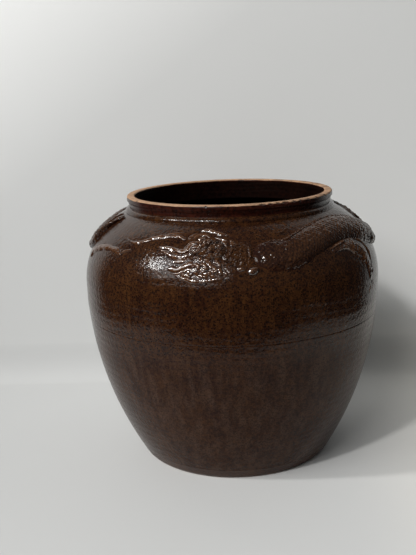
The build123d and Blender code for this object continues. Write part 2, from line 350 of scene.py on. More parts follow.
def finger_rings():
    tree, given, made = new_tree(
        "finger rings", "ShaderNodeTree",
        {"Vector": "vector", "Pitch": 0.006, "Wander": 1.5}, {"Height": "number"},
    )
    slow = noise(tree, given["Vector"], *SLOW_NOISE)
    turns = reckon(tree, "DIVIDE", axes(tree, given["Vector"])[2], given["Pitch"])
    moved = reckon(tree, "MULTIPLY_ADD", slow, given["Wander"], turns)
    level = add(tree, "ShaderNodeCombineXYZ", ("Z", moved)).outputs[0]
    rings = noise(tree, level, *RING_NOISE)
    feed(tree, made, ("Height", reckon(tree, "MULTIPLY", rings, slow)))
    return tree


# %% Glaze runs
RUN_EDGE, RUN_HEART = 0.42, 0.7
RUN_DETAIL = 3.0


def glaze_runs():
    tree, given, made = new_tree(
        "glaze runs", "ShaderNodeTree",
        {"Vector": "vector", "Run Width": 0.008, "Stretch": 0.08}, {"Mask": "number"},
    )
    drawn = add(tree, "ShaderNodeCombineXYZ", ("X", 1.0), ("Y", 1.0), ("Z", given["Stretch"]))
    place = reckon_vector(tree, "MULTIPLY", given["Vector"], drawn.outputs[0])
    run_scale = reckon(tree, "DIVIDE", 1.0, given["Run Width"])
    runs = noise(tree, place, run_scale, RUN_DETAIL)
    feed(tree, made, ("Mask", ramp(tree, runs, RUN_EDGE, RUN_HEART)))
    return tree


# %% Wandering edge
EDGE_NOISE = (90.0, 3.0)


def wandering_edge():
    tree, given, made = new_tree(
        "wandering edge", "ShaderNodeTree",
        {"Vector": "vector", "Level": 0.3, "Wander": 0.002, "Softness": 0.0006},
        {"Above": "number"},
    )
    waves = noise(tree, given["Vector"], *EDGE_NOISE)
    height = axes(tree, given["Vector"])[2]
    moved = reckon(tree, "MULTIPLY_ADD", waves, given["Wander"], height)
    over = reckon(tree, "SUBTRACT", moved, given["Level"])
    feed(tree, made, ("Above", eased(tree, over, 0.0, given["Softness"])))
    return tree


# %% Build the groups once
group_makers = (
    kiln_specks, glaze_depth, grain_and_pinholes, finger_rings, glaze_runs, wandering_edge
)
groups = {tree.name: tree for tree in (make() for make in group_makers)}
print("shader groups:", ", ".join(groups))

# %% [markdown]
# ## The glaze materials
# On the real jar the glaze is glassy over rough clay: olive amber where it is thin, nearly
# black where it is thick, with dense dark specks of iron. Below the seam it is duller and
# greyer, under a thin veil with pale runs, and that grey is partly a painted reflection of
# the pale sheet. On the flat lip there is only bare, sandy, stained clay. A single colour
# with gloss would look like plastic, so the colour, the roughness and the bump each come
# from the shared groups. Only the raised forms have a clear coat as well, because there the
# glaze is smooth enough to glitter.

# %% Material helpers
GLASSY_IOR = 1.45
GLOSS = 0.3


def grouped(tree, name, place, *links):
    """One of the shared groups, read at a place and given this material's own values."""
    links = (("Vector", place), *links)
    return add(tree, "ShaderNodeGroup", *links, node_tree=groups[name]).outputs


def point_mark(tree, label):
    """The number that the mesh carries under that label."""
    return add(tree, "ShaderNodeAttribute", attribute_name=label).outputs["Fac"]


def bumped(tree, height, distance):
    """The normal of a surface with that height on it, at that depth in metres."""
    links = (("Height", height), ("Distance", distance), ("Strength", 1.0))
    return add(tree, "ShaderNodeBump", *links).outputs[0]


def new_material(name, seen_colour):
    material = bpy.data.materials.new(name)
    material.use_nodes = True
    material.diffuse_color = seen_colour
    tree = material.node_tree
    shader = tree.nodes["Principled BSDF"]
    feed(tree, shader, ("IOR", GLASSY_IOR), ("Specular IOR Level", GLOSS))
    place = tree.nodes.new("ShaderNodeTexCoord").outputs["Object"]
    return material, tree, shader, place


# %% Brown glaze of the walls
AMBER = (0.058, 0.0222, 0.007, 1)
DARK_IRON = (0.02, 0.006, 0.0033, 1)
SPECK = (0.006, 0.003, 0.0025, 1)
COARSE_SPECKS = (("Speck Size", 0.0018), ("Share", 0.8))
FINE_SPECKS = (("Speck Size", 0.001), ("Share", 0.8))
FINE_STRENGTH = 0.9
RUN_THINNING = 0.2
RING_HEIGHT = 0.4
PEEL = 1.3
PEEL_NOISE = (280.0, 1.0)
BUMP_DEPTH = 0.0003
THIN_ROUGHNESS = 0.06
# Below the seam the glaze goes dull between two heights, under a thin grey veil that is
# stronger in the runs; that grey is partly a painted reflection of the pale sheet. Each
# change is what the dull glaze adds to a value.
DULL_FROM, DULL_TO = 0.172, 0.135
DULL_TONE = (0.08, 0.055, 0.046, 1)
VEIL, RUN_VEIL = 0.06, 0.3
SPECK_STRENGTH, SPECK_CHANGE = 0.85, -0.22
GLOSS_CHANGE = -0.17
ROUGHNESS, ROUGHNESS_CHANGE = 0.08, 0.12


def brown_glaze():
    material, tree, shader, place = new_material("brown_glaze", (0.04, 0.018, 0.01, 1))
    runs = grouped(tree, "glaze runs", place)["Mask"]
    depth = grouped(
        tree, "glaze depth", place, ("Thin Colour", AMBER), ("Thick Colour", DARK_IRON),
        ("Thinness", reckon(tree, "MULTIPLY", runs, RUN_THINNING)),
    )
    dull = eased(tree, axes(tree, place)[2], DULL_FROM, DULL_TO)
    veil = reckon(tree, "MULTIPLY", dull, reckon(tree, "MULTIPLY_ADD", runs, RUN_VEIL, VEIL))
    # Below the seam the colour turns towards a grey that is partly a painted reflection of the pale
    # sheet.
    tone = blend_colours(tree, veil, depth["Colour"], DULL_TONE)
    coarse = grouped(tree, "kiln specks", place, *COARSE_SPECKS)["Mask"]
    fine = grouped(tree, "kiln specks", place, *FINE_SPECKS)["Mask"]
    specks = reckon(tree, "MAXIMUM", coarse, reckon(tree, "MULTIPLY", fine, FINE_STRENGTH))
    strength = reckon(tree, "MULTIPLY_ADD", dull, SPECK_CHANGE, SPECK_STRENGTH)
    specks = reckon(tree, "MULTIPLY", specks, strength)
    rough = reckon(tree, "MULTIPLY_ADD", dull, ROUGHNESS_CHANGE, ROUGHNESS)
    rings = grouped(tree, "finger rings", place)["Height"]
    peel = reckon(tree, "MULTIPLY", noise(tree, place, *PEEL_NOISE), PEEL)
    waves = reckon(tree, "MULTIPLY_ADD", rings, RING_HEIGHT, peel)
    pits = grouped(tree, "grain and pinholes", place)["Height"]
    feed(
        tree, shader,
        ("Base Color", blend_colours(tree, specks, tone, SPECK)),
        ("Specular IOR Level", reckon(tree, "MULTIPLY_ADD", dull, GLOSS_CHANGE, GLOSS)),
        ("Roughness", reckon(tree, "MULTIPLY_ADD", depth["Thin Share"], THIN_ROUGHNESS, rough)),
        ("Normal", bumped(tree, reckon(tree, "ADD", waves, pits), BUMP_DEPTH)),
    )
    return material


# %% Glaze on the relief
CREST_AMBER = (0.09, 0.036, 0.0125, 1)
CREST_THINNING, FOOT_THINNESS = 0.4, -0.2
FAINT_SPECKS = 0.7
RELIEF_PEEL_NOISE = (380.0, 1.5)
GAP_DARK = 0.85
HOLLOW_AT_THE_EDGE = 0.8
COAT_ROUGHNESS = 0.06
COAT_IOR = 1.75
CREST_ROUGHNESS, RELIEF_ROUGHNESS = 0.05, 0.1


def relief_glaze(name, coat, hollow_dark):
    """Glaze that drains off the crests; the numbers weigh its clear coat and its dark hollows,
    partly pooled glaze and partly painted shade.
    """
    material, tree, shader, place = new_material(name, (0.04, 0.02, 0.012, 1))
    crest = point_mark(tree, "crest")
    depth = grouped(
        tree, "glaze depth", place, ("Thin Colour", CREST_AMBER), ("Thick Colour", DARK_IRON),
        ("Thinness", reckon(tree, "MULTIPLY_ADD", crest, CREST_THINNING, FOOT_THINNESS)),
        ("Patch Size", 0.02),
    )
    specks = grouped(tree, "kiln specks", place, ("Share", 0.5))["Mask"]
    specks = reckon(tree, "MULTIPLY", specks, FAINT_SPECKS)
    gaps = reckon(tree, "MULTIPLY", point_mark(tree, "gap"), GAP_DARK)
    # The foot of each stroke is darkened: glaze pooled there, and painted shade where the stroke
    # meets the wall.
    hollow = reckon(tree, "MULTIPLY_ADD", crest, -hollow_dark, hollow_dark * HOLLOW_AT_THE_EDGE)
    dark = reckon(tree, "MAXIMUM", reckon(tree, "MAXIMUM", specks, gaps), hollow)
    thin = depth["Thin Share"]
    pits = grouped(tree, "grain and pinholes", place, ("Pinhole Spacing", 0.016))["Height"]
    height = reckon(tree, "MULTIPLY_ADD", noise(tree, place, *RELIEF_PEEL_NOISE), PEEL, pits)
    feed(
        tree, shader,
        ("Base Color", blend_colours(tree, dark, depth["Colour"], SPECK)),
        ("Roughness", reckon(tree, "MULTIPLY_ADD", thin, CREST_ROUGHNESS, RELIEF_ROUGHNESS)),
        ("Normal", bumped(tree, height, BUMP_DEPTH / 3)),
        ("Coat Weight", coat),
        ("Coat Roughness", COAT_ROUGHNESS),
        ("Coat IOR", COAT_IOR),
    )
    return material


# %% Red-brown collar with its bare lip
COLLAR_THIN = (0.05, 0.011, 0.0055, 1)
COLLAR_THICK = (0.009, 0.0028, 0.002, 1)
LIP_BUFF = (0.26, 0.13, 0.064, 1)
LIP_SAND = (0.62, 0.4, 0.25, 1)
LIP_STAIN = (0.075, 0.042, 0.028, 1)
SAND_NOISE = (260.0, 4.0)
STAIN_NOISE = (55.0, 3.0)
STAIN_EDGE, STAIN_HEART = 0.42, 0.6
STAINED_LEFT, STAINED_RIGHT = 0.15, 0.55
STAIN_REACH = 0.09
BARE_LIP_HEIGHT = 0.55
COLLAR_ROUGHNESS, BARE_ROUGHENING = 0.25, 0.5
COLLAR_BUMP = 0.00035


def bare_lip(tree, place):
    """Sandy clay with dark stains, darker towards the right, and nearly black in the chips."""
    sand = blend_colours(tree, noise(tree, place, *SAND_NOISE), LIP_BUFF, LIP_SAND)
    patches = ramp(tree, noise(tree, place, *STAIN_NOISE), STAIN_EDGE, STAIN_HEART)
    # The dark patches grow stronger towards the right.
    right = ramp(tree, axes(tree, place)[0], 0.0, STAIN_REACH, STAINED_LEFT, STAINED_RIGHT)
    bare = blend_colours(tree, reckon(tree, "MULTIPLY", patches, right), sand, LIP_STAIN)
    return blend_colours(tree, point_mark(tree, "chip"), bare, SPECK)


def collar_glaze():
    material, tree, shader, place = new_material("collar_glaze", (0.05, 0.022, 0.014, 1))
    depth = grouped(
        tree, "glaze depth", place, ("Thin Colour", COLLAR_THIN), ("Thick Colour", COLLAR_THICK)
    )
    specks = grouped(tree, "kiln specks", place, ("Share", 0.5))["Mask"]
    specks = reckon(tree, "MULTIPLY", specks, FAINT_SPECKS)
    glazed = blend_colours(tree, specks, depth["Colour"], SPECK)
    level = (jar_height - BARE_LIP_HEIGHT) * MM
    above = grouped(tree, "wandering edge", place, ("Level", level), ("Wander", 0.0016))["Above"]
    rough = reckon(tree, "MULTIPLY_ADD", above, BARE_ROUGHENING, COLLAR_ROUGHNESS)
    pits = grouped(tree, "grain and pinholes", place, ("Pinhole Spacing", 0.009))["Height"]
    rings = grouped(tree, "finger rings", place, ("Pitch", 0.0035))["Height"]
    feed(
        tree, shader,
        ("Base Color", blend_colours(tree, above, glazed, bare_lip(tree, place))),
        ("Roughness", rough),
        ("Normal", bumped(tree, reckon(tree, "ADD", rings, pits), COLLAR_BUMP)),
    )
    return material


# %% Inside glaze, painted dark
# The inside colours are far darker than the outer glaze: painted shade for the dim inside of the
# jar.
INSIDE_THIN = (0.009, 0.003, 0.002, 1)
INSIDE_THICK = (0.002, 0.001, 0.0008, 1)
INSIDE_ROUGHNESS, INSIDE_GLOSS = 0.4, 0.05
INSIDE_BUMP = 0.0006


def inside_glaze():
    material, tree, shader, place = new_material("inside_glaze", (0.02, 0.012, 0.01, 1))
    depth = grouped(
        tree, "glaze depth", place, ("Thin Colour", INSIDE_THIN), ("Thick Colour", INSIDE_THICK)
    )
    rings = grouped(tree, "finger rings", place, ("Pitch", 0.009), ("Wander", 2.5))["Height"]
    feed(
        tree, shader,
        ("Base Color", depth["Colour"]),
        ("Specular IOR Level", INSIDE_GLOSS),
        ("Roughness", INSIDE_ROUGHNESS),
        ("Normal", bumped(tree, rings, INSIDE_BUMP)),
    )
    return material


# %% Bare clay of the foot, glazed above a wandering line
CLAY_LIGHT = (0.26, 0.15, 0.09, 1)
CLAY_DARK = (0.12, 0.065, 0.04, 1)
CLAY_NOISE = (300.0, 5.0)
GLAZE_LINE_HEIGHT = 3.0
CLAY_ROUGHNESS, GLAZE_SMOOTHING = 0.85, -0.5
CLAY_BUMP = 0.0005


def bare_clay():
    material, tree, shader, place = new_material("bare_clay", (0.2, 0.12, 0.075, 1))
    bare = blend_colours(tree, noise(tree, place, *CLAY_NOISE), CLAY_DARK, CLAY_LIGHT)
    depth = grouped(
        tree, "glaze depth", place, ("Thin Colour", AMBER), ("Thick Colour", DARK_IRON)
    )
    line = GLAZE_LINE_HEIGHT * MM
    above = grouped(tree, "wandering edge", place, ("Level", line), ("Wander", 0.003))["Above"]
    pits = grouped(
        tree, "grain and pinholes", place, ("Grain", 1.0), ("Pinhole Spacing", 0.006)
    )["Height"]
    feed(
        tree, shader,
        ("Base Color", blend_colours(tree, above, bare, depth["Colour"])),
        ("Roughness", reckon(tree, "MULTIPLY_ADD", above, GLAZE_SMOOTHING, CLAY_ROUGHNESS)),
        ("Normal", bumped(tree, pits, CLAY_BUMP)),
    )
    return material


# %% Make the materials
glaze = brown_glaze()
raised_glaze = relief_glaze("relief_glaze", 1.0, 0.9)
scaled_glaze = relief_glaze("scaled_relief_glaze", 0.25, 0.0)
worn_glaze = relief_glaze("worn_relief_glaze", 0.35, 0.9)
rim_glaze = collar_glaze()
inner_glaze = inside_glaze()
clay = bare_clay()
print("materials:", ", ".join(material.name for material in bpy.data.materials))

# %% [markdown]
# ## Outlines for the wheel
# A thrown wall is a section carried once round the axis. The section could be drawn by hand
# as a long list of points, but straight runs and arcs give the same line from a few sizes,
# and they stay true when a size changes.

# %% Section helpers
def run(start, end, step):
    """Points from start up to end, without the end."""
    across, up = end[0] - start[0], end[1] - start[1]
    count = max(1, round(np.hypot(across, up) / step))
    return [(start[0] + across * i / count, start[1] + up * i / count) for i in range(count)]


def bow(start, end, rise, step):
    """Points on the arc from start up to end that stands out to the right by that rise."""
    chord = np.array(end) - np.array(start)
    length = np.hypot(*chord)
    out = np.array((chord[1], -chord[0])) / length
    radius = (length**2 / 4 + rise**2) / (2 * abs(rise))
    centre = (np.array(start) + np.array(end)) / 2 + out * (rise - np.copysign(radius, rise))
    first = np.arctan2(*(np.array(start) - centre)[::-1])
    last = np.arctan2(*(np.array(end) - centre)[::-1])
    turn = (last - first + pi) % (2 * pi) - pi
    count = max(2, round(abs(turn) * radius / step))
    angles = first + turn * np.arange(count) / count
    return [(centre[0] + radius * cos(a), centre[1] + radius * sin(a)) for a in angles]


def lower_bow(foot, belly, low, high, step):
    """The part of the lower wall's arc between two heights."""
    line = bow(foot, belly, LOWER_BULGE, step / 4) + [belly]
    radii, heights = np.array(line).T
    count = max(2, round((high - low) / step))
    levels = np.linspace(low, high, count + 1)
    return [(float(np.interp(z, heights, radii)), float(z)) for z in levels]


def shoulder_bow(radius, low, high, step):
    """The part of a shoulder arc of that radius between two tilts from upright."""
    count = max(2, round(radius * abs(high - low) / step))
    tilts = np.linspace(low, high, count + 1)
    return [(shoulder_centre + radius * cos(t), SHOULDER_HEIGHT + radius * sin(t)) for t in tilts]


# %% [markdown]
# ## The wheel
# The base, both walls, the collar and the bead are all turned, so one Geometry Nodes tree
# makes them all. It carries the section round a circle, as the wheel does, then presses it in
# and out a little: finger rings that change with height, and the slow unevenness of a wall
# that was built by hand. Spin in Edit Mode would give the same round, but no unevenness, and
# it couldn't be turned again with other values.

# %% Helpers for geometry trees
def named_mark(tree, label):
    """The number that each point carries under that label."""
    links = (("Name", label),)
    return add(tree, "GeometryNodeInputNamedAttribute", *links, data_type="FLOAT").outputs[0]


def moved_along(tree, geometry, direction, distance):
    """Every point of a mesh, moved along its direction by its distance."""
    links = ((0, direction), ("Scale", distance))
    offset = add(tree, "ShaderNodeVectorMath", *links, operation="SCALE").outputs[0]
    links = (("Geometry", geometry), ("Offset", offset))
    return add(tree, "GeometryNodeSetPosition", *links).outputs[0]


def coated(tree, geometry, material):
    """Plain geometry with its material, as every tree here ends."""
    whole = add(tree, "GeometryNodeRealizeInstances", (0, geometry)).outputs[0]
    return add(tree, "GeometryNodeSetMaterial", (0, whole), ("Material", material)).outputs[0]


# %% Build the wheel tree
SWEEP_WELD = 0.00002
HAND_NOISE = (11.0, 1.0)
RING_DRIFT = 2.0
FLAT_WAYS = (1, 1, 0)


def wheel_tree():
    tree, given, made = new_tree(
        "turned on the wheel", "GeometryNodeTree",
        {
            "Section": "geometry", "Turning Radius": 0.1, "Segments": 360, "Ring Pitch": 0.007,
            "Ring Depth": 0.0001, "Unevenness": 0.0004, "Seed": 0.0, "Crease Angle": 0.7,
            "Outside": "material", "Inside": "material",
        },
        {"Piece": "geometry"},
    )
    section = add(tree, "GeometryNodeMeshToCurve", ("Mesh", given["Section"])).outputs[0]
    circle = add(
        tree, "GeometryNodeCurvePrimitiveCircle", ("Resolution", given["Segments"]),
        ("Radius", given["Turning Radius"]), mode="RADIUS",
    ).outputs["Curve"]
    swept = add(tree, "GeometryNodeCurveToMesh", ("Curve", circle), ("Profile Curve", section))
    links = (("Geometry", swept.outputs[0]), ("Distance", SWEEP_WELD))
    closed = add(tree, "GeometryNodeMergeByDistance", *links)

    place = tree.nodes.new("GeometryNodeInputPosition").outputs[0]
    outward = reckon_vector(tree, "MULTIPLY", place, FLAT_WAYS)
    outward = reckon_vector(tree, "NORMALIZE", outward)
    slow = noise(tree, place, *HAND_NOISE, given["Seed"])
    uneven = reckon(tree, "MULTIPLY", reckon(tree, "SUBTRACT", slow, 0.5), given["Unevenness"])
    turns = reckon(tree, "DIVIDE", axes(tree, place)[2], given["Ring Pitch"])
    drift = reckon(tree, "MULTIPLY_ADD", slow, RING_DRIFT, turns)
    wave = reckon(tree, "SINE", reckon(tree, "MULTIPLY", drift, 2 * pi))
    press = reckon(tree, "ADD", uneven, reckon(tree, "MULTIPLY", wave, given["Ring Depth"]))
    pressed = moved_along(tree, closed.outputs[0], outward, press)

    smooth = add(tree, "GeometryNodeSetShadeSmooth", (0, pressed), domain="FACE").outputs[0]
    angle = tree.nodes.new("GeometryNodeInputMeshEdgeAngle").outputs[0]
    sharp = add(
        tree, "FunctionNodeCompare", (0, angle), (1, given["Crease Angle"]),
        operation="GREATER_THAN",
    ).outputs[0]
    creased = add(
        tree, "GeometryNodeSetShadeSmooth", (0, smooth), (1, sharp), (2, False), domain="EDGE"
    ).outputs[0]
    outer = coated(tree, creased, given["Outside"])
    is_inside = add(
        tree, "FunctionNodeCompare", (0, named_mark(tree, "inside")), (1, 0.5),
        operation="GREATER_THAN",
    ).outputs[0]
    inner = add(
        tree, "GeometryNodeSetMaterial", (0, outer), (1, is_inside), ("Material", given["Inside"])
    )
    feed(tree, made, ("Piece", inner.outputs[0]))
    return tree


wheel = wheel_tree()
print("wheel tree:", len(wheel.nodes), "nodes")

# %% Turn a section into a piece
TURNING_RADIUS = 0.1


def turned(name, outer_line, inner_line, outer, inner, closed=True, segments=448, **values):
    """A piece of the pot from the outer and inner lines of its section, in millimetres."""
    section = outer_line + inner_line
    count = len(section)
    edges = [(i, i + 1) for i in range(count - 1)] + ([(count - 1, 0)] if closed else [])
    mesh = bpy.data.meshes.new(name)
    # Curve to Mesh carries a section with its Y pointing down
    mesh.from_pydata([(r * MM - TURNING_RADIUS, -z * MM, 0) for r, z in section], edges, [])
    mark_points(mesh, "inside", [0.0] * len(outer_line) + [1.0] * len(inner_line))
    piece = new_object(name, mesh)
    settings = {key.replace("_", " ").title(): value for key, value in values.items()}
    settings |= {"Turning Radius": TURNING_RADIUS, "Segments": segments}
    with_tree(piece, wheel, settings | {"Outside": outer, "Inside": inner})
    measure = face_outwards(piece.data)
    print(name, "faces", len(piece.data.polygons), measure)
    return piece


# %% [markdown]
# ## The base and the two walls
# The slab stands on a narrow ring round a shallow hollow. The lower wall leans out in one
# long bulge up to the luted seam, and the upper wall turns upright at the belly and then
# rolls in over the shoulder. The seam shows on the real jar as a faint line, so the edges of
# the two walls are eased where they meet.

# %% Corners of the pot
SEAM_EASE = 0.15
KINK_EASE = 2.5
FINE_STEP = 1.1
INNER_STEP = 4.0
FLAT_STEP = 6.0
FOOT_ROUND_POINTS = 10
foot = (FOOT_RADIUS, 0.0)
belly_kink = (BELLY_RADIUS, TAPER_HEIGHT)
inner_foot = (FOOT_RADIUS - FOOT_WALL, BASE_THICKNESS)
inner_kink = (BELLY_RADIUS - WALL, TAPER_HEIGHT)


def foot_round():
    """The rounded edge of the foot, from the standing ring up to the lower wall's arc."""
    chord = np.array(belly_kink) - np.array(foot)
    length = np.hypot(*chord)
    out = np.array((chord[1], -chord[0])) / length
    radius = (length**2 / 4 + LOWER_BULGE**2) / (2 * LOWER_BULGE)
    centre = (np.array(foot) + np.array(belly_kink)) / 2 + out * (LOWER_BULGE - radius)
    across = sqrt((radius - FOOT_ROUND) ** 2 - (FOOT_ROUND - centre[1]) ** 2)
    middle = np.array((centre[0] + across, FOOT_ROUND))
    last = atan2(*(middle - centre)[::-1])
    angles = np.linspace(-pi / 2, last, FOOT_ROUND_POINTS)
    x, z = float(middle[0]), float(middle[1])
    return [(x + FOOT_ROUND * cos(a), z + FOOT_ROUND * sin(a)) for a in angles]


round_edge = foot_round()
print("the foot's rounding ends", round(round_edge[-1][1], 1), "mm up")

# %% Base slab
HOLLOW_EASE = 1.5
UNEVENNESS = 0.0009
hollow_in = (BASE_HOLLOW_RADIUS - HOLLOW_EASE, BASE_HOLLOW_DEPTH)
hollow_out = (BASE_HOLLOW_RADIUS + HOLLOW_EASE, 0.0)
slab_line = run((0.0, BASE_HOLLOW_DEPTH), hollow_in, FLAT_STEP)
slab_line += run(hollow_in, hollow_out, HOLLOW_EASE / 2)
slab_line += run(hollow_out, round_edge[0], FLAT_STEP / 2) + round_edge
above_round = round_edge[-1][1] + FINE_STEP
slab_line += lower_bow(foot, belly_kink, above_round, BASE_THICKNESS, FINE_STEP)
floor_line = run(inner_foot, (0.0, BASE_THICKNESS), FLAT_STEP) + [(0.0, BASE_THICKNESS)]
base = turned(
    "base_slab_turned", slab_line, floor_line, clay, inner_glaze,
    closed=False, ring_depth=0.0, unevenness=UNEVENNESS,
)
stand_for(base, "base_slab", slot="bare_clay")

# %% Lower wall
LOWER_STEP = FINE_STEP * 1.4
WALL_RING_PITCH = 0.0085
outer_low = lower_bow(foot, belly_kink, BASE_THICKNESS, SEAM_HEIGHT - SEAM_EASE, LOWER_STEP)
outer_low += [(outer_low[-1][0] - SEAM_EASE / 2, SEAM_HEIGHT)]
inner_low = lower_bow(inner_foot, inner_kink, BASE_THICKNESS, SEAM_HEIGHT, INNER_STEP)[::-1]
lower = turned(
    "lower_wall_turned", outer_low, inner_low, glaze, inner_glaze,
    ring_depth=0.00007, unevenness=UNEVENNESS, ring_pitch=WALL_RING_PITCH,
)
stand_for(lower, "lower_wall", slot="brown_glaze")

# %% Upper wall
KINK_CUT = KINK_EASE / 60
outer_high = lower_bow(foot, belly_kink, SEAM_HEIGHT, TAPER_HEIGHT - KINK_EASE, FINE_STEP)
outer_high[0] = (outer_high[0][0] - SEAM_EASE / 2, SEAM_HEIGHT)
above_seam = lower_bow(foot, belly_kink, SEAM_HEIGHT + SEAM_EASE, TAPER_HEIGHT, FINE_STEP)
outer_high.insert(1, above_seam[0])
outer_high += [(BELLY_RADIUS - KINK_CUT, TAPER_HEIGHT)]
upright_foot, upright_top = TAPER_HEIGHT + KINK_EASE, (BELLY_RADIUS, SHOULDER_HEIGHT)
outer_high += run((BELLY_RADIUS, upright_foot), upright_top, FINE_STEP)
outer_high += shoulder_bow(shoulder_arc_radius, 0.0, shoulder_sweep, FINE_STEP)
inner_arc_radius = shoulder_arc_radius - WALL
throat_in = MOUTH_RADIUS - shoulder_centre
throat_tilt = atan2(sqrt(inner_arc_radius**2 - throat_in**2), throat_in)
inner_high = [(MOUTH_RADIUS, NECK_FOOT_HEIGHT)]
inner_high += shoulder_bow(inner_arc_radius, 0.0, throat_tilt, INNER_STEP)[::-1]
inner_high += lower_bow(inner_foot, inner_kink, SEAM_HEIGHT, TAPER_HEIGHT, INNER_STEP)[::-1]
upper = turned(
    "upper_wall_turned", outer_high, inner_high, glaze, inner_glaze,
    ring_depth=0.00005, unevenness=UNEVENNESS, ring_pitch=WALL_RING_PITCH,
)
stand_for(upper, "upper_wall", slot="brown_glaze")

# %% [markdown]
# ## The collar and its bead
# The collar is thrown thinner than the wall and leans out to a flat lip. The lip was wiped
# clean so that a cover or a stacked pot wouldn't stick to it, so its top is bare and sandy.
# It has small chips and pits on its outer edge. They are pushed into the mesh itself, because
# they break the outline of the lip, which a bump map can't do.

# %% Collar
COLLAR_WAIST = 0.5
LIP_OVERHANG = 2.4
LIP_HEIGHT = 5.0
LIP_ROUND = 1.8
LIP_BEVEL = 1.2
LIP_STEP = 0.5
NECK_RING_HEIGHT = 5.6
collar_foot = (MOUTH_RADIUS + COLLAR_WALL, NECK_FOOT_HEIGHT)
bead_top = (collar_foot[0], NECK_FOOT_HEIGHT + NECK_RING_HEIGHT)
lip_radius = collar_foot[0] + LIP_OVERHANG
under_lip = (lip_radius, jar_height - LIP_HEIGHT)


def quarter_round(middle, radius, first, last, count=6):
    """Points round a corner."""
    angles = np.linspace(first, last, count)
    return [(middle[0] + radius * cos(a), middle[1] + radius * sin(a)) for a in angles]


collar_line = run(collar_foot, bead_top, LIP_STEP)
collar_line += bow(bead_top, under_lip, -COLLAR_WAIST, LIP_STEP)
collar_line += run(under_lip, (lip_radius, jar_height - LIP_ROUND), LIP_STEP)
lip_corner = (lip_radius - LIP_ROUND, jar_height - LIP_ROUND)
collar_line += quarter_round(lip_corner, LIP_ROUND, 0, pi / 2)
lip_flat = (lip_radius - LIP_ROUND - LIP_STEP, jar_height)
collar_line += run(lip_flat, (MOUTH_RADIUS + LIP_BEVEL, jar_height), LIP_STEP)
inner_corner = (MOUTH_RADIUS + LIP_BEVEL, jar_height - LIP_BEVEL)
collar_line += quarter_round(inner_corner, LIP_BEVEL, pi / 2, pi, 4)
throat_top, throat_foot = jar_height - 2 * LIP_BEVEL, (MOUTH_RADIUS, NECK_FOOT_HEIGHT)
throat_line = run((MOUTH_RADIUS, throat_top), throat_foot, FINE_STEP) + [throat_foot]
collar = turned(
    "neck_collar_turned", collar_line, throat_line, rim_glaze, inner_glaze,
    segments=1080, ring_depth=0.00009, unevenness=UNEVENNESS, ring_pitch=0.0047,
)

# %% Chips in the lip
# Each chip: azimuth from the front, distance in from the lip's edge, height under its top,
# then its half length round the lip and its depth.
CHIPS = [
    (17.0, 0.9, 0.2, 3.6, 2.2), (21.5, 0.6, 0.6, 2.8, 2.0), (25.5, 1.1, 0.1, 3.2, 2.3),
    (30.0, 0.7, 0.4, 4.2, 2.4), (35.5, 0.8, 0.2, 2.8, 1.8), (40.0, 0.6, 0.7, 2.6, 1.6),
    (46.0, 0.8, 0.2, 2.4, 1.5), (53.0, 0.6, 0.4, 2.8, 1.6), (-12.0, 0.5, 0.5, 1.4, 0.5),
    (62.0, 0.5, 0.4, 2.2, 0.7), (118.0, 0.6, 0.4, 2.6, 0.9), (171.0, 0.5, 0.3, 1.8, 0.6),
    (228.0, 0.5, 0.4, 3.0, 1.0), (301.0, 0.6, 0.3, 1.6, 0.5),
]
CHIP_REACH_IN, CHIP_REACH_UP = 2.1, 1.7
CHIP_EDGE = 0.6
CHIP_PUSH = 0.6
RAGGED_WAVE, RAGGED_GRAIN = 0.25, 0.15
WAVES_IN_A_CHIP = 7


def chip_the_lip(piece):
    """Press each chip down and in, with a ragged edge, and mark where it is."""
    mesh = piece.data
    places = np.empty(len(mesh.vertices) * 3)
    mesh.vertices.foreach_get("co", places)
    places = places.reshape(-1, 3)
    radii = np.hypot(places[:, 0], places[:, 1])
    azimuths = np.arctan2(places[:, 0], -places[:, 1])
    chipped = np.zeros(len(places))
    grain = np.random.default_rng(7)
    for azimuth, inward, down, half_length, depth in CHIPS:
        turn = (azimuths - radians(azimuth) + pi) % (2 * pi) - pi
        along = turn * radii / (half_length * MM)
        inwards = (radii - (lip_radius - inward) * MM) / (CHIP_REACH_IN * MM)
        upwards = (places[:, 2] - (jar_height - down) * MM) / (CHIP_REACH_UP * MM)
        ragged = 1 + RAGGED_WAVE * np.sin(along * WAVES_IN_A_CHIP + azimuth)
        ragged = ragged + RAGGED_GRAIN * grain.standard_normal(len(places))
        hollow = np.clip(1 - (along**2 + inwards**2 + upwards**2) * ragged, 0, 1) ** CHIP_EDGE
        chipped = np.maximum(chipped, hollow)
        push = hollow * depth * CHIP_PUSH * MM
        places[:, 2] -= push
        places[:, :2] *= (1 - push / radii)[:, None]
    mesh.vertices.foreach_set("co", places.ravel())
    mark_points(mesh, "chip", chipped)
    mesh.update()
    print("chips in the lip:", len(CHIPS), "vertices moved:", int((chipped > 0).sum()))


chip_the_lip(collar)
stand_for(collar, "neck_collar", slot="collar_glaze")

# %% Bead round the foot of the collar
NECK_RING_SWELL = 1.6
RING_SINK = 0.4
RING_BACK = 1.0
ring_foot = (NECK_FOOT_RADIUS, NECK_FOOT_HEIGHT - RING_SINK)
ring_line = bow(ring_foot, bead_top, NECK_RING_SWELL, LIP_STEP) + [bead_top]
back_radius = collar_foot[0] - RING_BACK
back_foot = (back_radius, ring_foot[1])
ring_back = run((back_radius, bead_top[1]), back_foot, FINE_STEP) + [back_foot]
bead = turned(
    "neck_ring_turned", ring_line, ring_back, glaze, glaze,
    segments=600, ring_depth=0.0, unevenness=UNEVENNESS,
)
stand_for(bead, "neck_ring", slot="brown_glaze")

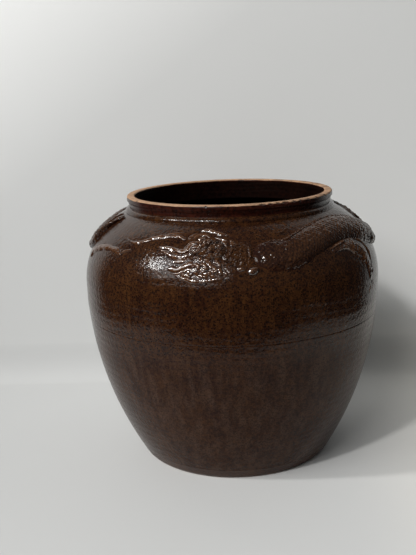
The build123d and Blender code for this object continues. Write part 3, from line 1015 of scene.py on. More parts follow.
# %% [markdown]
# ## Sprigs: strokes of clay on the shoulder
# The dragons were drawn with rolls and pads of clay, pressed down and smoothed at the edge
# with a wet finger. So each form here is a stroke: a line over the shoulder with a width and
# a height along it, and a section that meets the wall without a step. Curves with a bevel
# would give round worms that stick out of the wall, and sculpting couldn't be repeated, while
# a stroke is rebuilt from a few places and sizes. A place is an azimuth from the front, and a
# share of the way up the shoulder from where the belly is upright to the foot of the neck.

# %% Places on the shoulder
def radius_at(share):
    """The jar's radius at a share of the shoulder."""
    return shoulder_centre + shoulder_arc_radius * np.cos(np.maximum(share, 0) * shoulder_sweep)


def on_wall(azimuth, share, lift):
    """Points that far above the outside of the upper wall, in metres."""
    tilt = np.maximum(share, 0) * shoulder_sweep
    below = np.minimum(share, 0) * shoulder_length
    reach = shoulder_centre + (shoulder_arc_radius + lift) * np.cos(tilt)
    height = SHOULDER_HEIGHT + (shoulder_arc_radius + lift) * np.sin(tilt) + below
    return np.stack((reach * np.sin(azimuth), -reach * np.cos(azimuth), height), -1) * MM


print("halfway up the shoulder the radius is", round(float(radius_at(0.5)), 1), "mm")

# %% The hand's unevenness
UNEVEN_LENGTH = 4.5
LUMP_COUNT = 9
SHORTEST_LUMP, LONGEST_LUMP = 2.2, 6.5
lump_waves = np.random.default_rng(5).uniform(
    (0, SHORTEST_LUMP, 0), (2 * pi, LONGEST_LUMP, 2 * pi), (LUMP_COUNT, 3)
)


def uneven(seed, lengths):
    """A smooth random line between -1 and 1, as a finger never presses twice alike."""
    knots = np.arange(0, lengths[-1] + 2 * UNEVEN_LENGTH, UNEVEN_LENGTH)
    return np.interp(lengths, knots, np.random.default_rng(seed).uniform(-1, 1, len(knots)))


def lumps(azimuth, share):
    """Small soft lumps over the unrolled shoulder, mostly between -1 and 1."""
    x, y = azimuth * radius_at(share), share * shoulder_length
    total = 0
    for heading, length, phase in lump_waves:
        total = total + np.sin((x * cos(heading) + y * sin(heading)) * 2 * pi / length + phase)
    return total / sqrt(LUMP_COUNT)


# %% A stroke of clay
SINK = 0.45
BED = 1.3
ROUTE_STEPS = 24
ROUND = 2.2
FLAT = 4.0
SOFT_SECTION = 2.0
SOFT_KEEN = 1.2
TAPER_PLACES, TAPER_SIZES = (0, 0.3, 0.7, 1), (0.6, 1, 1, 0.5)
FEWEST_STEPS = 8


def swell(across, one):
    """The section of a stroke: 1 in the middle, 0 at its edges, softer below where asked for."""
    below = (across < 0) & one["soft_below"]
    power = np.where(below, SOFT_SECTION, one["section"])
    keen = np.where(below, SOFT_KEEN, one["keen"])
    return np.clip(1 - np.abs(across) ** power, 0, 1) ** keen


def smooth_line(route):
    """A route's rows of azimuth, share, width and height, with smooth bends between its places."""
    knots = np.array(route, float)
    if knots.shape[1] == 2:
        taper = np.interp(np.linspace(0, 1, len(knots)), TAPER_PLACES, TAPER_SIZES)
        knots = np.column_stack((knots, taper, taper))
    knots = np.vstack((2 * knots[0] - knots[1], knots, 2 * knots[-1] - knots[-2]))
    part = np.arange(ROUTE_STEPS)[:, None] / ROUTE_STEPS
    rows = []
    for before, first, last, after in zip(knots, knots[1:], knots[2:], knots[3:]):
        bend = 2 * before - 5 * first + 4 * last - after
        twist = 3 * first - before - 3 * last + after
        rows.append(first + 0.5 * part * (last - before + part * (bend + part * twist)))
    return np.vstack((*rows, knots[-2:-1]))


def stroke(
    half_width, relief, route, keen=1.3, on=(), step=0.6, section=ROUND, lumpy=0.12, hand=0.16,
    soft_below=False,
):
    """A stroke, its line in even rows of azimuth, share, half width, relief and length.

    Its section goes from round to flat and its crest from blunt to keen, it is as uneven as
    the hand and as lumpy as the clay, and it rises over the strokes that it lies on.
    """
    rows = smooth_line(route)
    onward = np.diff(np.radians(rows[:, 0])) * radius_at(rows[1:, 1])
    gaps = np.hypot(onward, np.diff(rows[:, 1]) * shoulder_length)
    length = np.concatenate(((0,), np.cumsum(gaps)))
    even = np.linspace(0, length[-1], max(FEWEST_STEPS, round(length[-1] / step)))
    azimuth, share, wide, high = (np.interp(even, length, column) for column in rows.T)
    seed = int(abs(route[0][0]) * 100 + abs(route[-1][1]) * 1000)
    wide = half_width * wide * (1 + hand * uneven(seed, even))
    high = relief * high * (1 + hand * uneven(seed + 1, even))
    end = np.minimum(even, even[-1] - even) / np.maximum(wide, step)
    rounded = np.sqrt(1 - (1 - np.clip(end, 0, 1)) ** 2)
    return {
        "line": np.column_stack((np.radians(azimuth), share, wide * rounded, high * rounded, even)),
        "keen": keen, "on": on, "step": step, "relief": relief, "section": section,
        "lumpy": lumpy, "soft_below": soft_below,
    }


# %% The shell of a stroke
COLUMNS = (8, 72)
NARROWEST = 0.01
SMALLEST = 1e-9


def height_over(under, azimuth, share):
    """How high a stroke stands at those places, from the nearest point of its line."""
    line = under["line"]
    across = (azimuth[..., None] - line[:, 0]) * radius_at(share)[..., None]
    up = (share[..., None] - line[:, 1]) * shoulder_length
    distance = np.hypot(across, up)
    nearest = distance.argmin(-1)
    gap = np.take_along_axis(distance, nearest[..., None], -1)[..., 0]
    wide = np.maximum(line[nearest, 2], NARROWEST)
    smooth = line[nearest, 3] * swell(gap / wide, under)
    return smooth * (1 + under["lumpy"] * lumps(azimuth, share))


def stroke_shell(one, turn):
    """The closed shell of a stroke: points, faces and the marks that its glaze reads."""
    line = one["line"]
    count = len(line)
    columns = int(np.clip(round(line[:, 2].max() * 2 / one["step"]), *COLUMNS)) // 2 * 2 + 1
    flat = np.column_stack((line[:, 0] * radius_at(line[:, 1]), line[:, 1] * shoulder_length))
    heading = np.gradient(flat, axis=0)
    heading /= np.maximum(np.hypot(*heading.T), SMALLEST)[:, None]
    across = np.sin(np.linspace(-pi / 2, pi / 2, columns))
    offset = across * line[:, 2:3]
    azimuth = line[:, 0:1] - heading[:, 1:2] * offset / radius_at(line[:, 1:2])
    share = line[:, 1:2] + heading[:, 0:1] * offset / shoulder_length
    own = line[:, 3:4] * swell(across, one) * (1 + one["lumpy"] * lumps(azimuth, share))
    ground = np.zeros_like(own)
    for under in one["on"]:
        ground = np.maximum(ground, height_over(under, azimuth, share))
    top = on_wall(azimuth + turn, share, ground + own - SINK)
    ends = [0, columns - 1]
    low = on_wall(azimuth[:, ends] + turn, share[:, ends], -BED)
    points = np.vstack((top.reshape(-1, 3), low.reshape(-1, 3)))
    crest = np.concatenate(((own / one["relief"]).ravel(), np.zeros(2 * count)))
    along = np.concatenate((np.repeat(line[:, 4], columns), np.repeat(line[:, 4], 2))) * MM
    aside = np.concatenate((offset.ravel(), offset[:, ends].ravel())) * MM
    grid = np.arange(count * columns).reshape(count, columns)
    under_left = count * columns + 2 * np.arange(count)
    under_right = under_left + 1

    def strip(left, right):
        return np.stack((left[:-1], right[:-1], right[1:], left[1:]), -1).reshape(-1, 4)

    faces = [strip(grid[:, i], grid[:, i + 1]) for i in range(columns - 1)]
    faces += [strip(under_left, grid[:, 0]), strip(grid[:, -1], under_right)]
    faces += [strip(under_right, under_left)]
    return points, np.vstack(faces), {"crest": crest, "along": along, "across": aside}


# %% Lay strokes as one piece
WELD = 1e-7


def laid(name, strokes, turns, cover, tree=None, **values):
    """One piece from its strokes, laid at each of those turns round the jar."""
    shells = [stroke_shell(one, turn) for turn in turns for one in strokes]
    starts = np.cumsum([0] + [len(points) for points, _, _ in shells])
    faces = np.vstack([shell[1] + start for shell, start in zip(shells, starts)])
    mesh = bpy.data.meshes.new(name)
    mesh.from_pydata(np.vstack([shell[0] for shell in shells]), [], faces.tolist())
    for label in ("crest", "along", "across"):
        mark_points(mesh, label, np.concatenate([shell[2][label] for shell in shells]))
    measure = face_outwards(mesh, WELD)
    mesh.polygons.foreach_set("use_smooth", [True] * len(mesh.polygons))
    mesh.materials.append(cover)
    piece = new_object(name, mesh)
    if tree:
        with_tree(piece, tree, values)
    print(name, "faces", len(piece.data.polygons), measure)
    return piece


# %% Lay a form on both dragons
HALF_TURN = pi
DRAGONS = {"front": 0.0, "back": HALF_TURN}


def lay_form(node, strokes, turns, cover, ending="laid", **settings):
    """Lay strokes as one piece, and let it stand for its node of the relief."""
    piece = laid(f"{node}_{ending}", strokes, turns, cover, **settings)
    stand_for(piece, node, slot="relief_glaze")


# %% [markdown]
# ## Scales
# The bodies are covered in small overlapping scales, soft under the glaze, which break up
# into rough knots towards the head. They repeat along the body and across it, so a Geometry
# Nodes tree presses them in: each stroke carries its length and its distance from the middle
# as attributes, and two staggered rows of tilted discs are raised from them. Stamping each
# scale as its own mesh would cost far more faces for the same look.

# %% Scale tree
WANDER_NOISE = (90.0, 1.0)
KNOT_NOISE = (210.0, 2.0)
DISC_ALONG, DISC_ACROSS = 0.56, 0.5
DISC_EDGE, DISC_HEART = 1.0, 0.35
DISC_TILT, DISC_LIFT = 0.9, 0.6
BARE_CREST, FULL_CREST = 0.04, 0.25
ROUGH_OVER, ROUGH_WHOLE = 1.25, 0.75
KNOT_LEVEL = 0.45
PIT_SLOPE, PIT_LEVEL = -4.0, 2.1


def scale_pattern(tree, length, width):
    """Two staggered rows of discs, each tilted like a roof tile, for lengths counted in scales."""
    rows = []
    for stagger in (0.0, 0.5):
        front, side = (
            reckon(tree, "SUBTRACT", reckon(tree, "FRACT", reckon(tree, "ADD", way, stagger)), 0.5)
            for way in (length, width)
        )
        ahead = reckon(tree, "POWER", reckon(tree, "DIVIDE", front, DISC_ALONG), 2.0)
        aside = reckon(tree, "POWER", reckon(tree, "DIVIDE", side, DISC_ACROSS), 2.0)
        disc = eased(tree, reckon(tree, "ADD", ahead, aside), DISC_EDGE, DISC_HEART)
        tilt = reckon(tree, "MULTIPLY_ADD", front, DISC_TILT, DISC_LIFT)
        rows.append(reckon(tree, "MULTIPLY", disc, tilt))
    return reckon(tree, "MAXIMUM", *rows)


def scale_tree():
    tree, given, made = new_tree(
        "dragon scales", "GeometryNodeTree",
        {
            "Stroke": "geometry", "Scale Length": 0.0044, "Scale Width": 0.005,
            "Scale Height": 0.0007, "Rough Length": 0.055, "Rough Height": 0.0021,
            "Wander": 0.8, "Seed": 0.0, "Glaze": "material",
        },
        {"Stroke": "geometry"},
    )
    place = tree.nodes.new("GeometryNodeInputPosition").outputs[0]
    along, across = named_mark(tree, "along"), named_mark(tree, "across")
    slow = noise(tree, place, *WANDER_NOISE, given["Seed"])
    shift = reckon(tree, "MULTIPLY", reckon(tree, "SUBTRACT", slow, 0.5), given["Wander"])
    length = reckon(tree, "ADD", reckon(tree, "DIVIDE", along, given["Scale Length"]), shift)
    width = reckon(tree, "ADD", reckon(tree, "DIVIDE", across, given["Scale Width"]), shift)
    pattern = scale_pattern(tree, length, width)
    fade = eased(tree, named_mark(tree, "crest"), BARE_CREST, FULL_CREST)
    lift = reckon(tree, "MULTIPLY", reckon(tree, "MULTIPLY", pattern, fade), given["Scale Height"])

    reach = reckon(tree, "DIVIDE", along, given["Rough Length"])
    near = eased(tree, reach, ROUGH_OVER, ROUGH_WHOLE)
    rough = noise(tree, place, *KNOT_NOISE, given["Seed"])
    knots = reckon(tree, "SUBTRACT", rough, KNOT_LEVEL)
    knots = reckon(tree, "MULTIPLY", knots, given["Rough Height"])
    lift = reckon(tree, "MULTIPLY_ADD", reckon(tree, "MULTIPLY", near, fade), knots, lift)
    normal = tree.nodes.new("GeometryNodeInputNormal").outputs[0]
    raised = moved_along(tree, given["Stroke"], normal, lift)

    pitted = reckon(tree, "MULTIPLY_ADD", rough, PIT_SLOPE, PIT_LEVEL)
    pitted = reckon(tree, "MULTIPLY", near, pitted)
    gap = reckon(tree, "MAXIMUM", reckon(tree, "SUBTRACT", 1.0, pattern), pitted)
    marked = add(
        tree, "GeometryNodeStoreNamedAttribute", ("Geometry", raised), ("Name", "gap"),
        ("Value", reckon(tree, "MULTIPLY", gap, fade)), data_type="FLOAT", domain="POINT",
    )
    feed(tree, made, ("Stroke", coated(tree, marked.outputs[0], given["Glaze"])))
    return tree


scales = scale_tree()
print("scale tree:", len(scales.nodes), "nodes")

# %% [markdown]
# ## The dragon's body, tail and legs
# The body is a broad roll of clay that dips behind the head, climbs in an arch towards the
# neck of the jar and sinks again, and the tail follows it round the back and flicks up. The
# two dragons chase each other, so one set of strokes serves both, half a turn apart.

# %% Body and tail
BODY_HALF_WIDTH = 17.0
BODY_RELIEF = 7.2
BODY_CLAY = {"keen": 0.8, "step": 0.55, "section": 4.5, "lumpy": 0.05, "hand": 0.05}
LOOSE_HAND = 0.25
# Each place on a route: azimuth, share of the shoulder, share of the width, share of the height
BODY_ROUTE = [
    (7.8, 0.550, 0.85, 0.15), (12.0, 0.540, 1.00, 0.27), (17.0, 0.528, 1.06, 0.42),
    (22.0, 0.525, 1.02, 0.56), (29.0, 0.600, 1.00, 0.68), (36.5, 0.668, 0.99, 0.76),
    (47.0, 0.730, 0.98, 0.86), (57.0, 0.722, 0.96, 0.98), (67.0, 0.645, 0.92, 1.06),
    (77.0, 0.545, 0.86, 0.95), (82.0, 0.505, 0.80, 0.88),
]
TAIL_ROUTE = [
    (74.0, 0.572, 0.84, 0.92), (77.0, 0.545, 0.86, 0.95), (85.0, 0.480, 0.76, 0.82),
    (93.0, 0.485, 0.62, 0.70), (99.5, 0.580, 0.50, 0.60), (104.0, 0.720, 0.40, 0.50),
    (108.0, 0.850, 0.27, 0.38), (111.5, 0.945, 0.10, 0.20),
]
body = stroke(BODY_HALF_WIDTH, BODY_RELIEF, BODY_ROUTE, soft_below=True, **BODY_CLAY)
tail = stroke(BODY_HALF_WIDTH, BODY_RELIEF, TAIL_ROUTE, **BODY_CLAY)
fin = stroke(1.8, 1.5, [
    (15.5, 0.715, 0.60, 0.60), (22.1, 0.700, 0.90, 0.90), (27.1, 0.755, 1.00, 1.00),
    (32.8, 0.812, 1.00, 1.00), (40.2, 0.868, 1.00, 1.00), (45.1, 0.888, 1.00, 1.00),
    (52.3, 0.888, 1.00, 1.00), (63.6, 0.830, 0.90, 0.90), (76.0, 0.720, 0.50, 0.50),
], on=[body])
tail_ridges = [
    stroke(2.2, 1.6, [
        (101.5, 0.470), (101.8, 0.570), (104.2, 0.690), (107.6, 0.800), (111.0, 0.900),
    ], on=[tail], hand=LOOSE_HAND),
    stroke(2.0, 1.6, [
        (92.0, 0.620), (94.9, 0.760), (97.0, 0.880), (101.0, 0.970),
    ], hand=LOOSE_HAND),
    stroke(2.0, 1.4, [
        (98.0, 0.560), (99.5, 0.680), (102.0, 0.800), (105.5, 0.900), (108.0, 0.960),
    ], on=[tail], hand=LOOSE_HAND),
]
for side, turn in DRAGONS.items():
    for form, strokes in (("body", [body, fin]), ("tail", [tail] + tail_ridges)):
        lay_form(
            f"{side}_dragon_{form}", strokes, [turn], scaled_glaze,
            ending="scaled", tree=scales, Glaze=scaled_glaze,
        )

# %% Fore legs
LEG_HALF_WIDTH = 9.5
LEG_RELIEF = 3.0
fore_leg = stroke(LEG_HALF_WIDTH, LEG_RELIEF, [
    (42.0, 0.485, 0.30, 0.40), (47.0, 0.520, 0.50, 0.70), (53.0, 0.510, 0.75, 0.95),
    (60.0, 0.400, 1.00, 1.05), (62.8, 0.240, 0.90, 0.70), (63.0, 0.040, 0.60, 0.40),
], keen=1.0, section=3.0)
wrinkles = [
    stroke(2.6, 1.5, [
        (40.8, 0.509, 0.50, 0.60), (45.2, 0.545, 0.80, 1.00), (50.4, 0.570, 1.00, 1.00),
        (57.8, 0.566, 1.00, 1.00), (64.0, 0.498, 1.10, 1.00), (66.6, 0.380, 1.10, 1.00),
        (66.6, 0.240, 1.00, 0.80), (64.6, 0.110, 0.80, 0.50),
    ], on=[fore_leg], hand=LOOSE_HAND),
    stroke(2.0, 1.3, [
        (44.0, 0.470, 0.60, 0.70), (49.0, 0.491, 1.00, 1.00), (52.3, 0.451, 1.00, 1.00),
        (55.0, 0.383, 1.00, 0.90), (57.8, 0.300, 0.90, 0.80), (59.4, 0.190, 0.80, 0.60),
    ], on=[fore_leg], hand=LOOSE_HAND),
    stroke(1.6, 0.9, [(54.5, 0.505), (58.0, 0.455), (60.2, 0.380)], on=[fore_leg], hand=LOOSE_HAND),
]
for side, turn in DRAGONS.items():
    lay_form(f"{side}_dragon_fore_leg", [fore_leg] + wrinkles, [turn], scaled_glaze)

# %% Hind legs and claws
hind_leg = stroke(5.2, 2.4, [
    (105.0, 0.330, 0.60, 0.60), (107.0, 0.420, 1.00, 0.90), (112.6, 0.490, 1.00, 1.00),
    (118.1, 0.530, 0.95, 1.00), (123.8, 0.535, 0.80, 0.90), (128.5, 0.525, 0.70, 0.80),
    (132.3, 0.495, 0.60, 0.60),
], keen=1.0, lumpy=0.05, hand=0.08, soft_below=True)
CLAW_SPREADS = (-1.0, 0.0, 1.0)


def claws(end, steps, half_width, relief):
    """Three claws that fan out from the end of a leg."""
    fan = []
    for spread in CLAW_SPREADS:
        route = [
            (end[0] + onward * spread, end[1] + climb, *size) for onward, climb, *size in steps
        ]
        fan.append(stroke(half_width, relief, route, keen=1.0, step=0.4))
    return fan


fore_claws = claws((64.8, 0.020), [
    (0.4, 0.020, 1.00, 0.90), (2.9, -0.075, 1.00, 1.00), (4.4, -0.140, 0.30, 0.40),
], 2.3, 0.7)
hind_claws = claws((131.5, 0.510), [
    (0.2, 0.000, 1.00, 0.80), (3.2, 0.045, 1.00, 0.90), (6.2, 0.060, 0.30, 0.40),
], 2.1, 2.1)
print("claws on a fore leg and a hind leg:", len(fore_claws), len(hind_claws))

# %% [markdown]
# ## The head
# Behind the open jaws the head is a low dome under a crowd of pinched curls: cheeks, brow,
# horn, whisker and beard, half drowned in the glaze. It could be sculpted or cut as a relief
# map, but then no curl could be moved or made thinner alone. Here each curl is a short ridge
# laid on a soft bed, and a ridge that runs over another rises with it.

# %% Neck patch behind the head
RIDGE_WIDTH, RIDGE_HEIGHT = 1.3, 0.55
RIDGE_STEP = 0.42


def ridges(half_width, relief, routes, on=(), lumpy=0.1, hand=LOOSE_HAND):
    """Several thin ridges of one kind, pressed with the edge of a tool."""
    size = (half_width * RIDGE_WIDTH, relief * RIDGE_HEIGHT)
    pressed = {"keen": 1.0, "on": on, "step": RIDGE_STEP, "lumpy": lumpy, "hand": hand}
    return [stroke(*size, route, **pressed) for route in routes]


neck = stroke(13.0, 1.4, [
    (-4.0, 0.575, 0.62, 0.70), (0.5, 0.580, 0.92, 1.00), (7.9, 0.590, 1.00, 1.00),
], section=FLAT, lumpy=0.22, step=0.45)
neck_edges = ridges(1.7, 1.7, [
    [(6.0, 0.725), (7.0, 0.691), (7.4, 0.624), (7.3, 0.555), (6.5, 0.478), (5.2, 0.442)],
    [(0.9, 0.648), (-0.5, 0.572), (-2.0, 0.520), (-1.5, 0.462)],
], on=[neck])
neck_edges += ridges(1.2, 1.0, [
    [(1.1, 0.663), (3.2, 0.697), (5.7, 0.712)],
    [(-1.4, 0.450), (1.2, 0.453), (3.8, 0.459), (5.1, 0.481)],
    [(2.0, 0.719), (2.9, 0.756), (4.1, 0.716)],
], on=[neck])
print("folds in the neck patch:", len(neck_edges))

# %% Skull and cheeks
skull = stroke(11.5, 5.2, [
    (-16.0, 0.605, 0.40, 0.62), (-12.0, 0.640, 0.90, 0.95), (-7.0, 0.640, 1.05, 1.00),
    (-2.0, 0.600, 0.80, 0.70),
], keen=0.9, section=3.0, lumpy=0.15)
cheeks = ridges(2.6, 2.8, [
    [(-14.5, 0.583), (-11.8, 0.607), (-9.4, 0.660), (-6.9, 0.702), (-4.7, 0.705)],
    [(-1.5, 0.652), (-2.6, 0.601), (-4.5, 0.555), (-5.2, 0.512), (-4.1, 0.473)],
    [(-12.2, 0.499), (-9.9, 0.512), (-8.1, 0.546), (-6.2, 0.546), (-5.0, 0.512)],
], on=[skull], lumpy=0.25)
cheeks += ridges(1.9, 2.2, [
    [(-14.2, 0.555), (-11.7, 0.533), (-10.0, 0.522)],
    [(-9.0, 0.573), (-7.5, 0.603), (-5.5, 0.590), (-4.5, 0.555)],
    [(-6.0, 0.638), (-4.4, 0.643), (-3.6, 0.601)],
    [(-4.8, 0.762), (-2.5, 0.722), (-1.5, 0.665)],
    [(-0.2, 0.753), (0.8, 0.700), (0.5, 0.651)],
], on=[skull, neck], lumpy=0.25)
print("curls on the cheek:", len(cheeks))

# %% Jaws and tongue
pad = stroke(5.5, 0.9, [
    (-27.5, 0.602, 0.50, 0.70), (-22.0, 0.572, 0.90, 1.00), (-15.5, 0.620, 1.00, 1.00),
], section=3.0)
upper_jaws = [
    pad,
    *ridges(2.3, 2.3, [[
        (-29.8, 0.640, 0.60, 0.80), (-25.5, 0.642, 0.90, 1.00), (-21.6, 0.620, 1.00, 1.00),
        (-18.6, 0.606, 1.15, 1.10), (-17.0, 0.633, 1.20, 1.25), (-15.8, 0.674, 1.20, 1.20),
        (-13.8, 0.690, 0.80, 0.80),
    ]], on=[pad, skull], hand=0.1, lumpy=0.04),
    *ridges(2.0, 1.9, [
        [
            (-29.4, 0.632), (-27.6, 0.603), (-24.0, 0.566), (-21.0, 0.536), (-18.0, 0.545),
            (-15.0, 0.588), (-12.9, 0.620),
        ],
        [(-18.6, 0.638), (-16.4, 0.687), (-13.6, 0.703), (-10.6, 0.697)],
        [(-17.6, 0.660), (-16.3, 0.706), (-14.6, 0.716), (-13.6, 0.690)],
    ], on=[pad, skull]),
]
lower_jaws = [
    *ridges(3.0, 2.9, [[
        (-23.6, 0.398, 0.50, 0.60), (-21.9, 0.414, 1.00, 1.00), (-19.9, 0.405, 1.00, 1.00),
        (-17.3, 0.439, 1.00, 1.10), (-15.1, 0.471, 1.00, 1.10), (-13.0, 0.470, 0.70, 0.60),
    ]], hand=0.1, lumpy=0.04),
    *ridges(1.7, 2.0, [[
        (-21.6, 0.372), (-19.3, 0.368), (-17.1, 0.397), (-14.9, 0.420), (-13.2, 0.410),
    ]]),
]
tongues = ridges(2.3, 1.9, [[(-22.6, 0.482), (-20.0, 0.497), (-17.7, 0.506), (-15.6, 0.545)]])
print("strokes in the jaws:", len(upper_jaws), len(lower_jaws))

# %% Eye, brow, horn and whisker
eyes = [stroke(3.0, 2.1, [
    (-13.3, 0.728), (-11.7, 0.762), (-10.0, 0.742),
], keen=0.7, on=[skull], step=0.4, section=FLAT)]
brows = ridges(2.0, 2.4, [
    [(-15.0, 0.728), (-14.9, 0.784), (-13.1, 0.818), (-10.4, 0.818), (-8.2, 0.786)],
    [(-14.1, 0.712), (-12.5, 0.693), (-10.4, 0.695), (-8.7, 0.727), (-8.8, 0.770)],
    [(-18.0, 0.760), (-16.5, 0.800), (-14.2, 0.845)],
], on=[skull])
horns = ridges(2.5, 3.2, [[
    (-13.4, 0.872), (-9.9, 0.889), (-6.6, 0.853), (-3.4, 0.826), (-0.4, 0.808),
]])
horns += ridges(1.4, 1.5, [[(-6.8, 0.790), (-3.7, 0.766), (-1.0, 0.738)]])
whiskers = ridges(2.7, 2.8, [[
    (-49.6, 0.700, 0.25, 0.35), (-45.5, 0.668, 0.60, 0.65), (-41.5, 0.664, 0.90, 0.90),
    (-37.6, 0.705, 1.00, 0.95), (-34.6, 0.738, 1.00, 1.00), (-29.8, 0.778, 1.05, 1.05),
    (-23.6, 0.794, 1.00, 1.00), (-18.4, 0.760, 0.60, 0.60),
]])
whiskers += ridges(1.7, 1.2, [[(-29.4, 0.812), (-24.7, 0.834), (-20.2, 0.847)]])
print("strokes in brow, horn and whisker:", len(brows), len(horns), len(whiskers))

# %% Beard
CURLS = [
    [(-14.3, 0.454), (-13.0, 0.471), (-11.8, 0.440), (-12.2, 0.403)],
    [(-11.5, 0.456), (-10.2, 0.473), (-9.2, 0.436), (-9.8, 0.393)],
    [(-9.5, 0.479), (-8.4, 0.490), (-7.4, 0.451), (-7.9, 0.414)],
    [(-7.5, 0.436), (-6.4, 0.444), (-5.6, 0.410), (-6.4, 0.372)],
    [(-5.3, 0.414), (-4.2, 0.416), (-3.5, 0.377), (-4.4, 0.346)],
    [(-11.1, 0.388), (-9.6, 0.377), (-8.9, 0.346), (-9.9, 0.331)],
    [(-13.7, 0.391), (-12.2, 0.371), (-11.7, 0.340)],
    [(-8.6, 0.393), (-7.5, 0.372), (-7.6, 0.338)],
    [(-10.5, 0.522), (-8.8, 0.518), (-7.3, 0.501)],
    [(-3.2, 0.393), (-1.9, 0.376), (-1.6, 0.342)],
    [(-16.0, 0.411), (-14.8, 0.369), (-13.2, 0.360)],
    [(-17.0, 0.366), (-15.4, 0.348), (-13.9, 0.318)],
    [(-6.5, 0.501), (-4.6, 0.478), (-3.5, 0.434)],
    [(-2.4, 0.434), (-1.0, 0.402), (-0.7, 0.359)],
    [(-12.0, 0.348), (-10.6, 0.350), (-9.4, 0.325)],
    [(-7.6, 0.340), (-6.4, 0.347), (-5.4, 0.324)],
]
beard_bed = stroke(6.5, 1.0, [
    (-16.5, 0.380, 0.50, 0.60), (-11.0, 0.425, 1.00, 1.00), (-3.0, 0.400, 0.90, 1.00),
], lumpy=0.2)
beards = [beard_bed, *ridges(2.3, 2.6, CURLS, on=[beard_bed], lumpy=0.12, hand=0.2)]
beards += ridges(1.9, 2.2, [
    [
        (-20.4, 0.345), (-18.4, 0.332), (-15.4, 0.312), (-13.1, 0.293), (-8.8, 0.304),
        (-5.3, 0.316), (-3.2, 0.324), (1.0, 0.338),
    ],
    [(-18.6, 0.337), (-17.0, 0.357), (-15.2, 0.322)],
], lumpy=0.2)
beards += ridges(2.6, 3.2, [
    [(-14.9, 0.458), (-13.7, 0.450), (-12.8, 0.432)],
    [(-10.2, 0.440), (-9.0, 0.428), (-7.8, 0.410)],
    [(-7.2, 0.408), (-6.1, 0.394), (-5.3, 0.376)],
    [(-4.6, 0.394), (-3.9, 0.380), (-3.3, 0.360)],
], on=[beard_bed], hand=0.1)
beards += ridges(3.0, 3.2, [[(2.0, 0.396), (3.4, 0.418), (4.9, 0.404)]])
print("strokes in the beard:", len(beards))

# %% Knob and flames
knobs = [stroke(4.4, 4.0, [
    (5.6, 0.366, 0.7, 0.8), (7.6, 0.390, 1, 1), (9.8, 0.408, 0.7, 0.8),
], keen=1.0, step=0.45)]
flames = ridges(2.0, 2.0, [
    [(22.4, 0.930), (25.0, 0.950), (26.6, 0.900), (24.2, 0.830), (20.6, 0.806), (16.8, 0.830)],
    [(90.5, 0.690), (92.5, 0.800), (98.5, 0.890)],
])
print("flames:", len(flames))

# %% Lay the head and the small forms
for side, turn in DRAGONS.items():
    lay_form(f"{side}_dragon_neck", [neck] + neck_edges, [turn], glaze)
    lay_form(f"{side}_dragon_skull", [skull] + cheeks, [turn], worn_glaze)
SMALL_FORMS = {
    "hind_legs": ([hind_leg], scaled_glaze),
    "fore_claws": (fore_claws, scaled_glaze),
    "hind_claws": (hind_claws, scaled_glaze),
    "upper_jaws": (upper_jaws, raised_glaze),
    "lower_jaws": (lower_jaws, raised_glaze),
    "tongues": (tongues, raised_glaze),
    "eyes": (eyes, raised_glaze),
    "brows": (brows, worn_glaze),
    "horns": (horns, raised_glaze),
    "whiskers": (whiskers, worn_glaze),
    "beards": (beards, raised_glaze),
    "flames": (flames, glaze),
    "knobs": (knobs, raised_glaze),
}
for form, (strokes, cover) in SMALL_FORMS.items():
    lay_form(f"dragon_{form}", strokes, list(DRAGONS.values()), cover)

# %% [markdown]
# ## The studio
# The jar stands on a pale sheet that runs up into the wall behind it, in a dim room. Its
# light is a broad soft window on the left with two brighter panes in it. The dark glaze shows
# little colour of its own: most of what is seen on it is the pale sheet, reflected at the
# sides and on the lower wall, and the window on the shoulder. So the sheet and the lights
# shape the look as much as the glaze does. The sheet's paper also carries painted light:
# it is paler to the right, upwards and in the upper left corner, with painted shade in the
# bend and a painted warm fill where the jar's shadow falls. The sheet is clear from behind,
# so that the jar can be looked at from there too.

# %% Pale sheet
SHEET_LEFT, SHEET_RIGHT = -0.62, 0.6
SHEET_FRONT, SHEET_BACK = -0.42, 0.25
SHEET_HEIGHT = 1.1
SHEET_BEND = 0.05
BEND_POINTS = 24


def sheet_mesh():
    """A sheet that lies on the table, bends up behind the jar and stands as the wall."""
    line = [(SHEET_FRONT, 0.0), (0.0, 0.0)]
    for tilt in np.linspace(-pi / 2, 0, BEND_POINTS):
        back, up = SHEET_BEND * cos(tilt), SHEET_BEND * sin(tilt)
        line.append((SHEET_BACK - SHEET_BEND + back, SHEET_BEND + up))
    line.append((SHEET_BACK, SHEET_HEIGHT))
    points = [(side, y, z) for y, z in line for side in (SHEET_LEFT, SHEET_RIGHT)]
    faces = [(2 * i, 2 * i + 1, 2 * i + 3, 2 * i + 2) for i in range(len(line) - 1)]
    mesh = bpy.data.meshes.new("pale_sheet")
    mesh.from_pydata(points, [], faces)
    mesh.polygons.foreach_set("use_smooth", [True] * len(faces))
    return mesh


# %% Paper of the sheet, with painted light and shade
PAPER_PALE = (0.99, 1.0, 0.99, 1)
PAPER_SHADE = (0.45, 0.456, 0.453, 1)
PAPER_WARM = (1.0, 0.975, 0.91, 1)
PAPER_LEVEL = 0.445
# Painted light: the paper is paler to the right (less so higher up), paler upwards and in the upper
# left corner, and painted shade darkens the bend.
RIGHTWARD, RIGHTWARD_CHANGE = 0.64, -1.02
UPWARD = 0.284
CORNER_SLOPE = -0.7
CORNER_FROM, CORNER_TO = 0.5, 1.15
BEND_SHADE = -0.8
MOTTLE = 0.045
MOTTLE_NOISE = (3.0, 2.0)
PAPER_ROUGHNESS = 0.75
# Painted fill light: low down to the right of the jar, where its cast shadow falls, the paper is
# paler and warmer.
WARM_FROM, WARM_TO = 0.1, 0.3
WARM_UNDER = 0.1
WARM_SHARE = 0.8


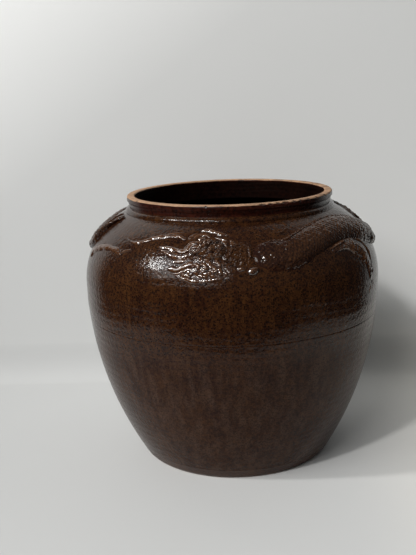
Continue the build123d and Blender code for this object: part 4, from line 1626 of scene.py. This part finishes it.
def paper_tone(tree, place):
    """Painted light: paler to the right, upwards and in the upper left corner, painted shade in the
    bend, and a painted warm fill where the jar's shadow falls.
    """
    side, up = axes(tree, place)[0], axes(tree, place)[2]
    rightward = reckon(tree, "MULTIPLY_ADD", up, RIGHTWARD_CHANGE, RIGHTWARD)
    level = reckon(tree, "MULTIPLY_ADD", up, UPWARD, reckon(tree, "MULTIPLY", side, rightward))
    corner = reckon(tree, "MULTIPLY_ADD", side, CORNER_SLOPE, up)
    level = reckon(tree, "ADD", level, ramp(tree, corner, CORNER_FROM, CORNER_TO))
    bend = ramp(tree, up, 0.0, SHEET_BEND)
    bent = reckon(tree, "MULTIPLY", bend, reckon(tree, "SUBTRACT", 1.0, bend))
    level = reckon(tree, "MULTIPLY_ADD", bent, BEND_SHADE, level)
    level = reckon(tree, "MULTIPLY_ADD", noise(tree, place, *MOTTLE_NOISE), MOTTLE, level)
    level = reckon(tree, "ADD", level, PAPER_LEVEL)
    grey = blend_colours(tree, level, PAPER_SHADE, PAPER_PALE)
    # The painted warm fill in the jar's cast shadow.
    beside = eased(tree, side, WARM_FROM, WARM_TO)
    low = reckon(tree, "MULTIPLY", eased(tree, up, WARM_UNDER, 0.0), WARM_SHARE)
    return blend_colours(tree, reckon(tree, "MULTIPLY", beside, low), grey, PAPER_WARM)


def pale_paper():
    material = bpy.data.materials.new("pale_paper")
    material.use_nodes = True
    tree = material.node_tree
    place = tree.nodes.new("ShaderNodeTexCoord").outputs["Object"]
    shader = tree.nodes["Principled BSDF"]
    feed(tree, shader, ("Base Color", paper_tone(tree, place)), ("Roughness", PAPER_ROUGHNESS))
    behind = tree.nodes.new("ShaderNodeNewGeometry").outputs["Backfacing"]
    clear = tree.nodes.new("ShaderNodeBsdfTransparent").outputs[0]
    links = ((0, behind), (1, shader.outputs[0]), (2, clear))
    one_sided = add(tree, "ShaderNodeMixShader", *links).outputs[0]
    feed(tree, tree.nodes["Material Output"], ("Surface", one_sided))
    return material


sheet = new_object("pale_sheet", sheet_mesh())
sheet.data.materials.append(pale_paper())
print("the sheet stands", SHEET_BACK, "m behind the jar's middle")

# %% Soft window
WINDOW_TARGET = Vector((0.0, -0.05, 0.2))
WINDOW_DISTANCE = 3.2
DAYLIGHT = (1.0, 0.99, 0.975)
# Each light: its name, degrees round from the left, degrees up, width, height and power
LIGHTS = [
    ("window", 48, 37, 2.9, 1.3, 56.0),
    ("bright_pane", 20, 36, 0.2, 0.2, 31.0),
    ("bright_pane", 58, 41, 0.2, 0.2, 31.0),
]


def soft_light(name, around, up, width, tall, power):
    around, up = radians(around), radians(up)
    toward = Vector((-cos(around) * cos(up), -sin(around) * cos(up), sin(up)))
    data = bpy.data.lights.new(name, "AREA")
    data.shape = "RECTANGLE"
    data.size = width
    data.size_y = tall
    data.energy = power
    data.color = DAYLIGHT
    light = new_object(name, data)
    turn = toward.to_track_quat("Z", "Y").to_matrix().to_4x4()
    light.matrix_world = Matrix.Translation(WINDOW_TARGET + toward * WINDOW_DISTANCE) @ turn


for settings in LIGHTS:
    soft_light(*settings)
print("lights:", len(LIGHTS))

# %% The room's own light
ROOM_COLOUR = (0.93, 0.97, 1.0, 1)
FLOOR_GLOW, CEILING_GLOW = 0.03, 0.1
CEILING_FROM = 0.45
SEEN_WALL = 0.45


def dim_room():
    room = bpy.data.worlds.new("dim_room")
    room.use_nodes = True
    tree = room.node_tree
    toward = tree.nodes.new("ShaderNodeTexCoord").outputs["Generated"]
    glow = eased(tree, axes(tree, toward)[2], 0.0, CEILING_FROM, FLOOR_GLOW, CEILING_GLOW)
    seen = tree.nodes.new("ShaderNodeLightPath").outputs["Is Camera Ray"]
    strength = reckon(tree, "MAXIMUM", glow, reckon(tree, "MULTIPLY", seen, SEEN_WALL))
    feed(tree, tree.nodes["Background"], ("Color", ROOM_COLOUR), ("Strength", strength))
    bpy.context.scene.world = room


dim_room()
bpy.context.scene.view_settings.view_transform = "Standard"
print("world:", bpy.context.scene.world.name)
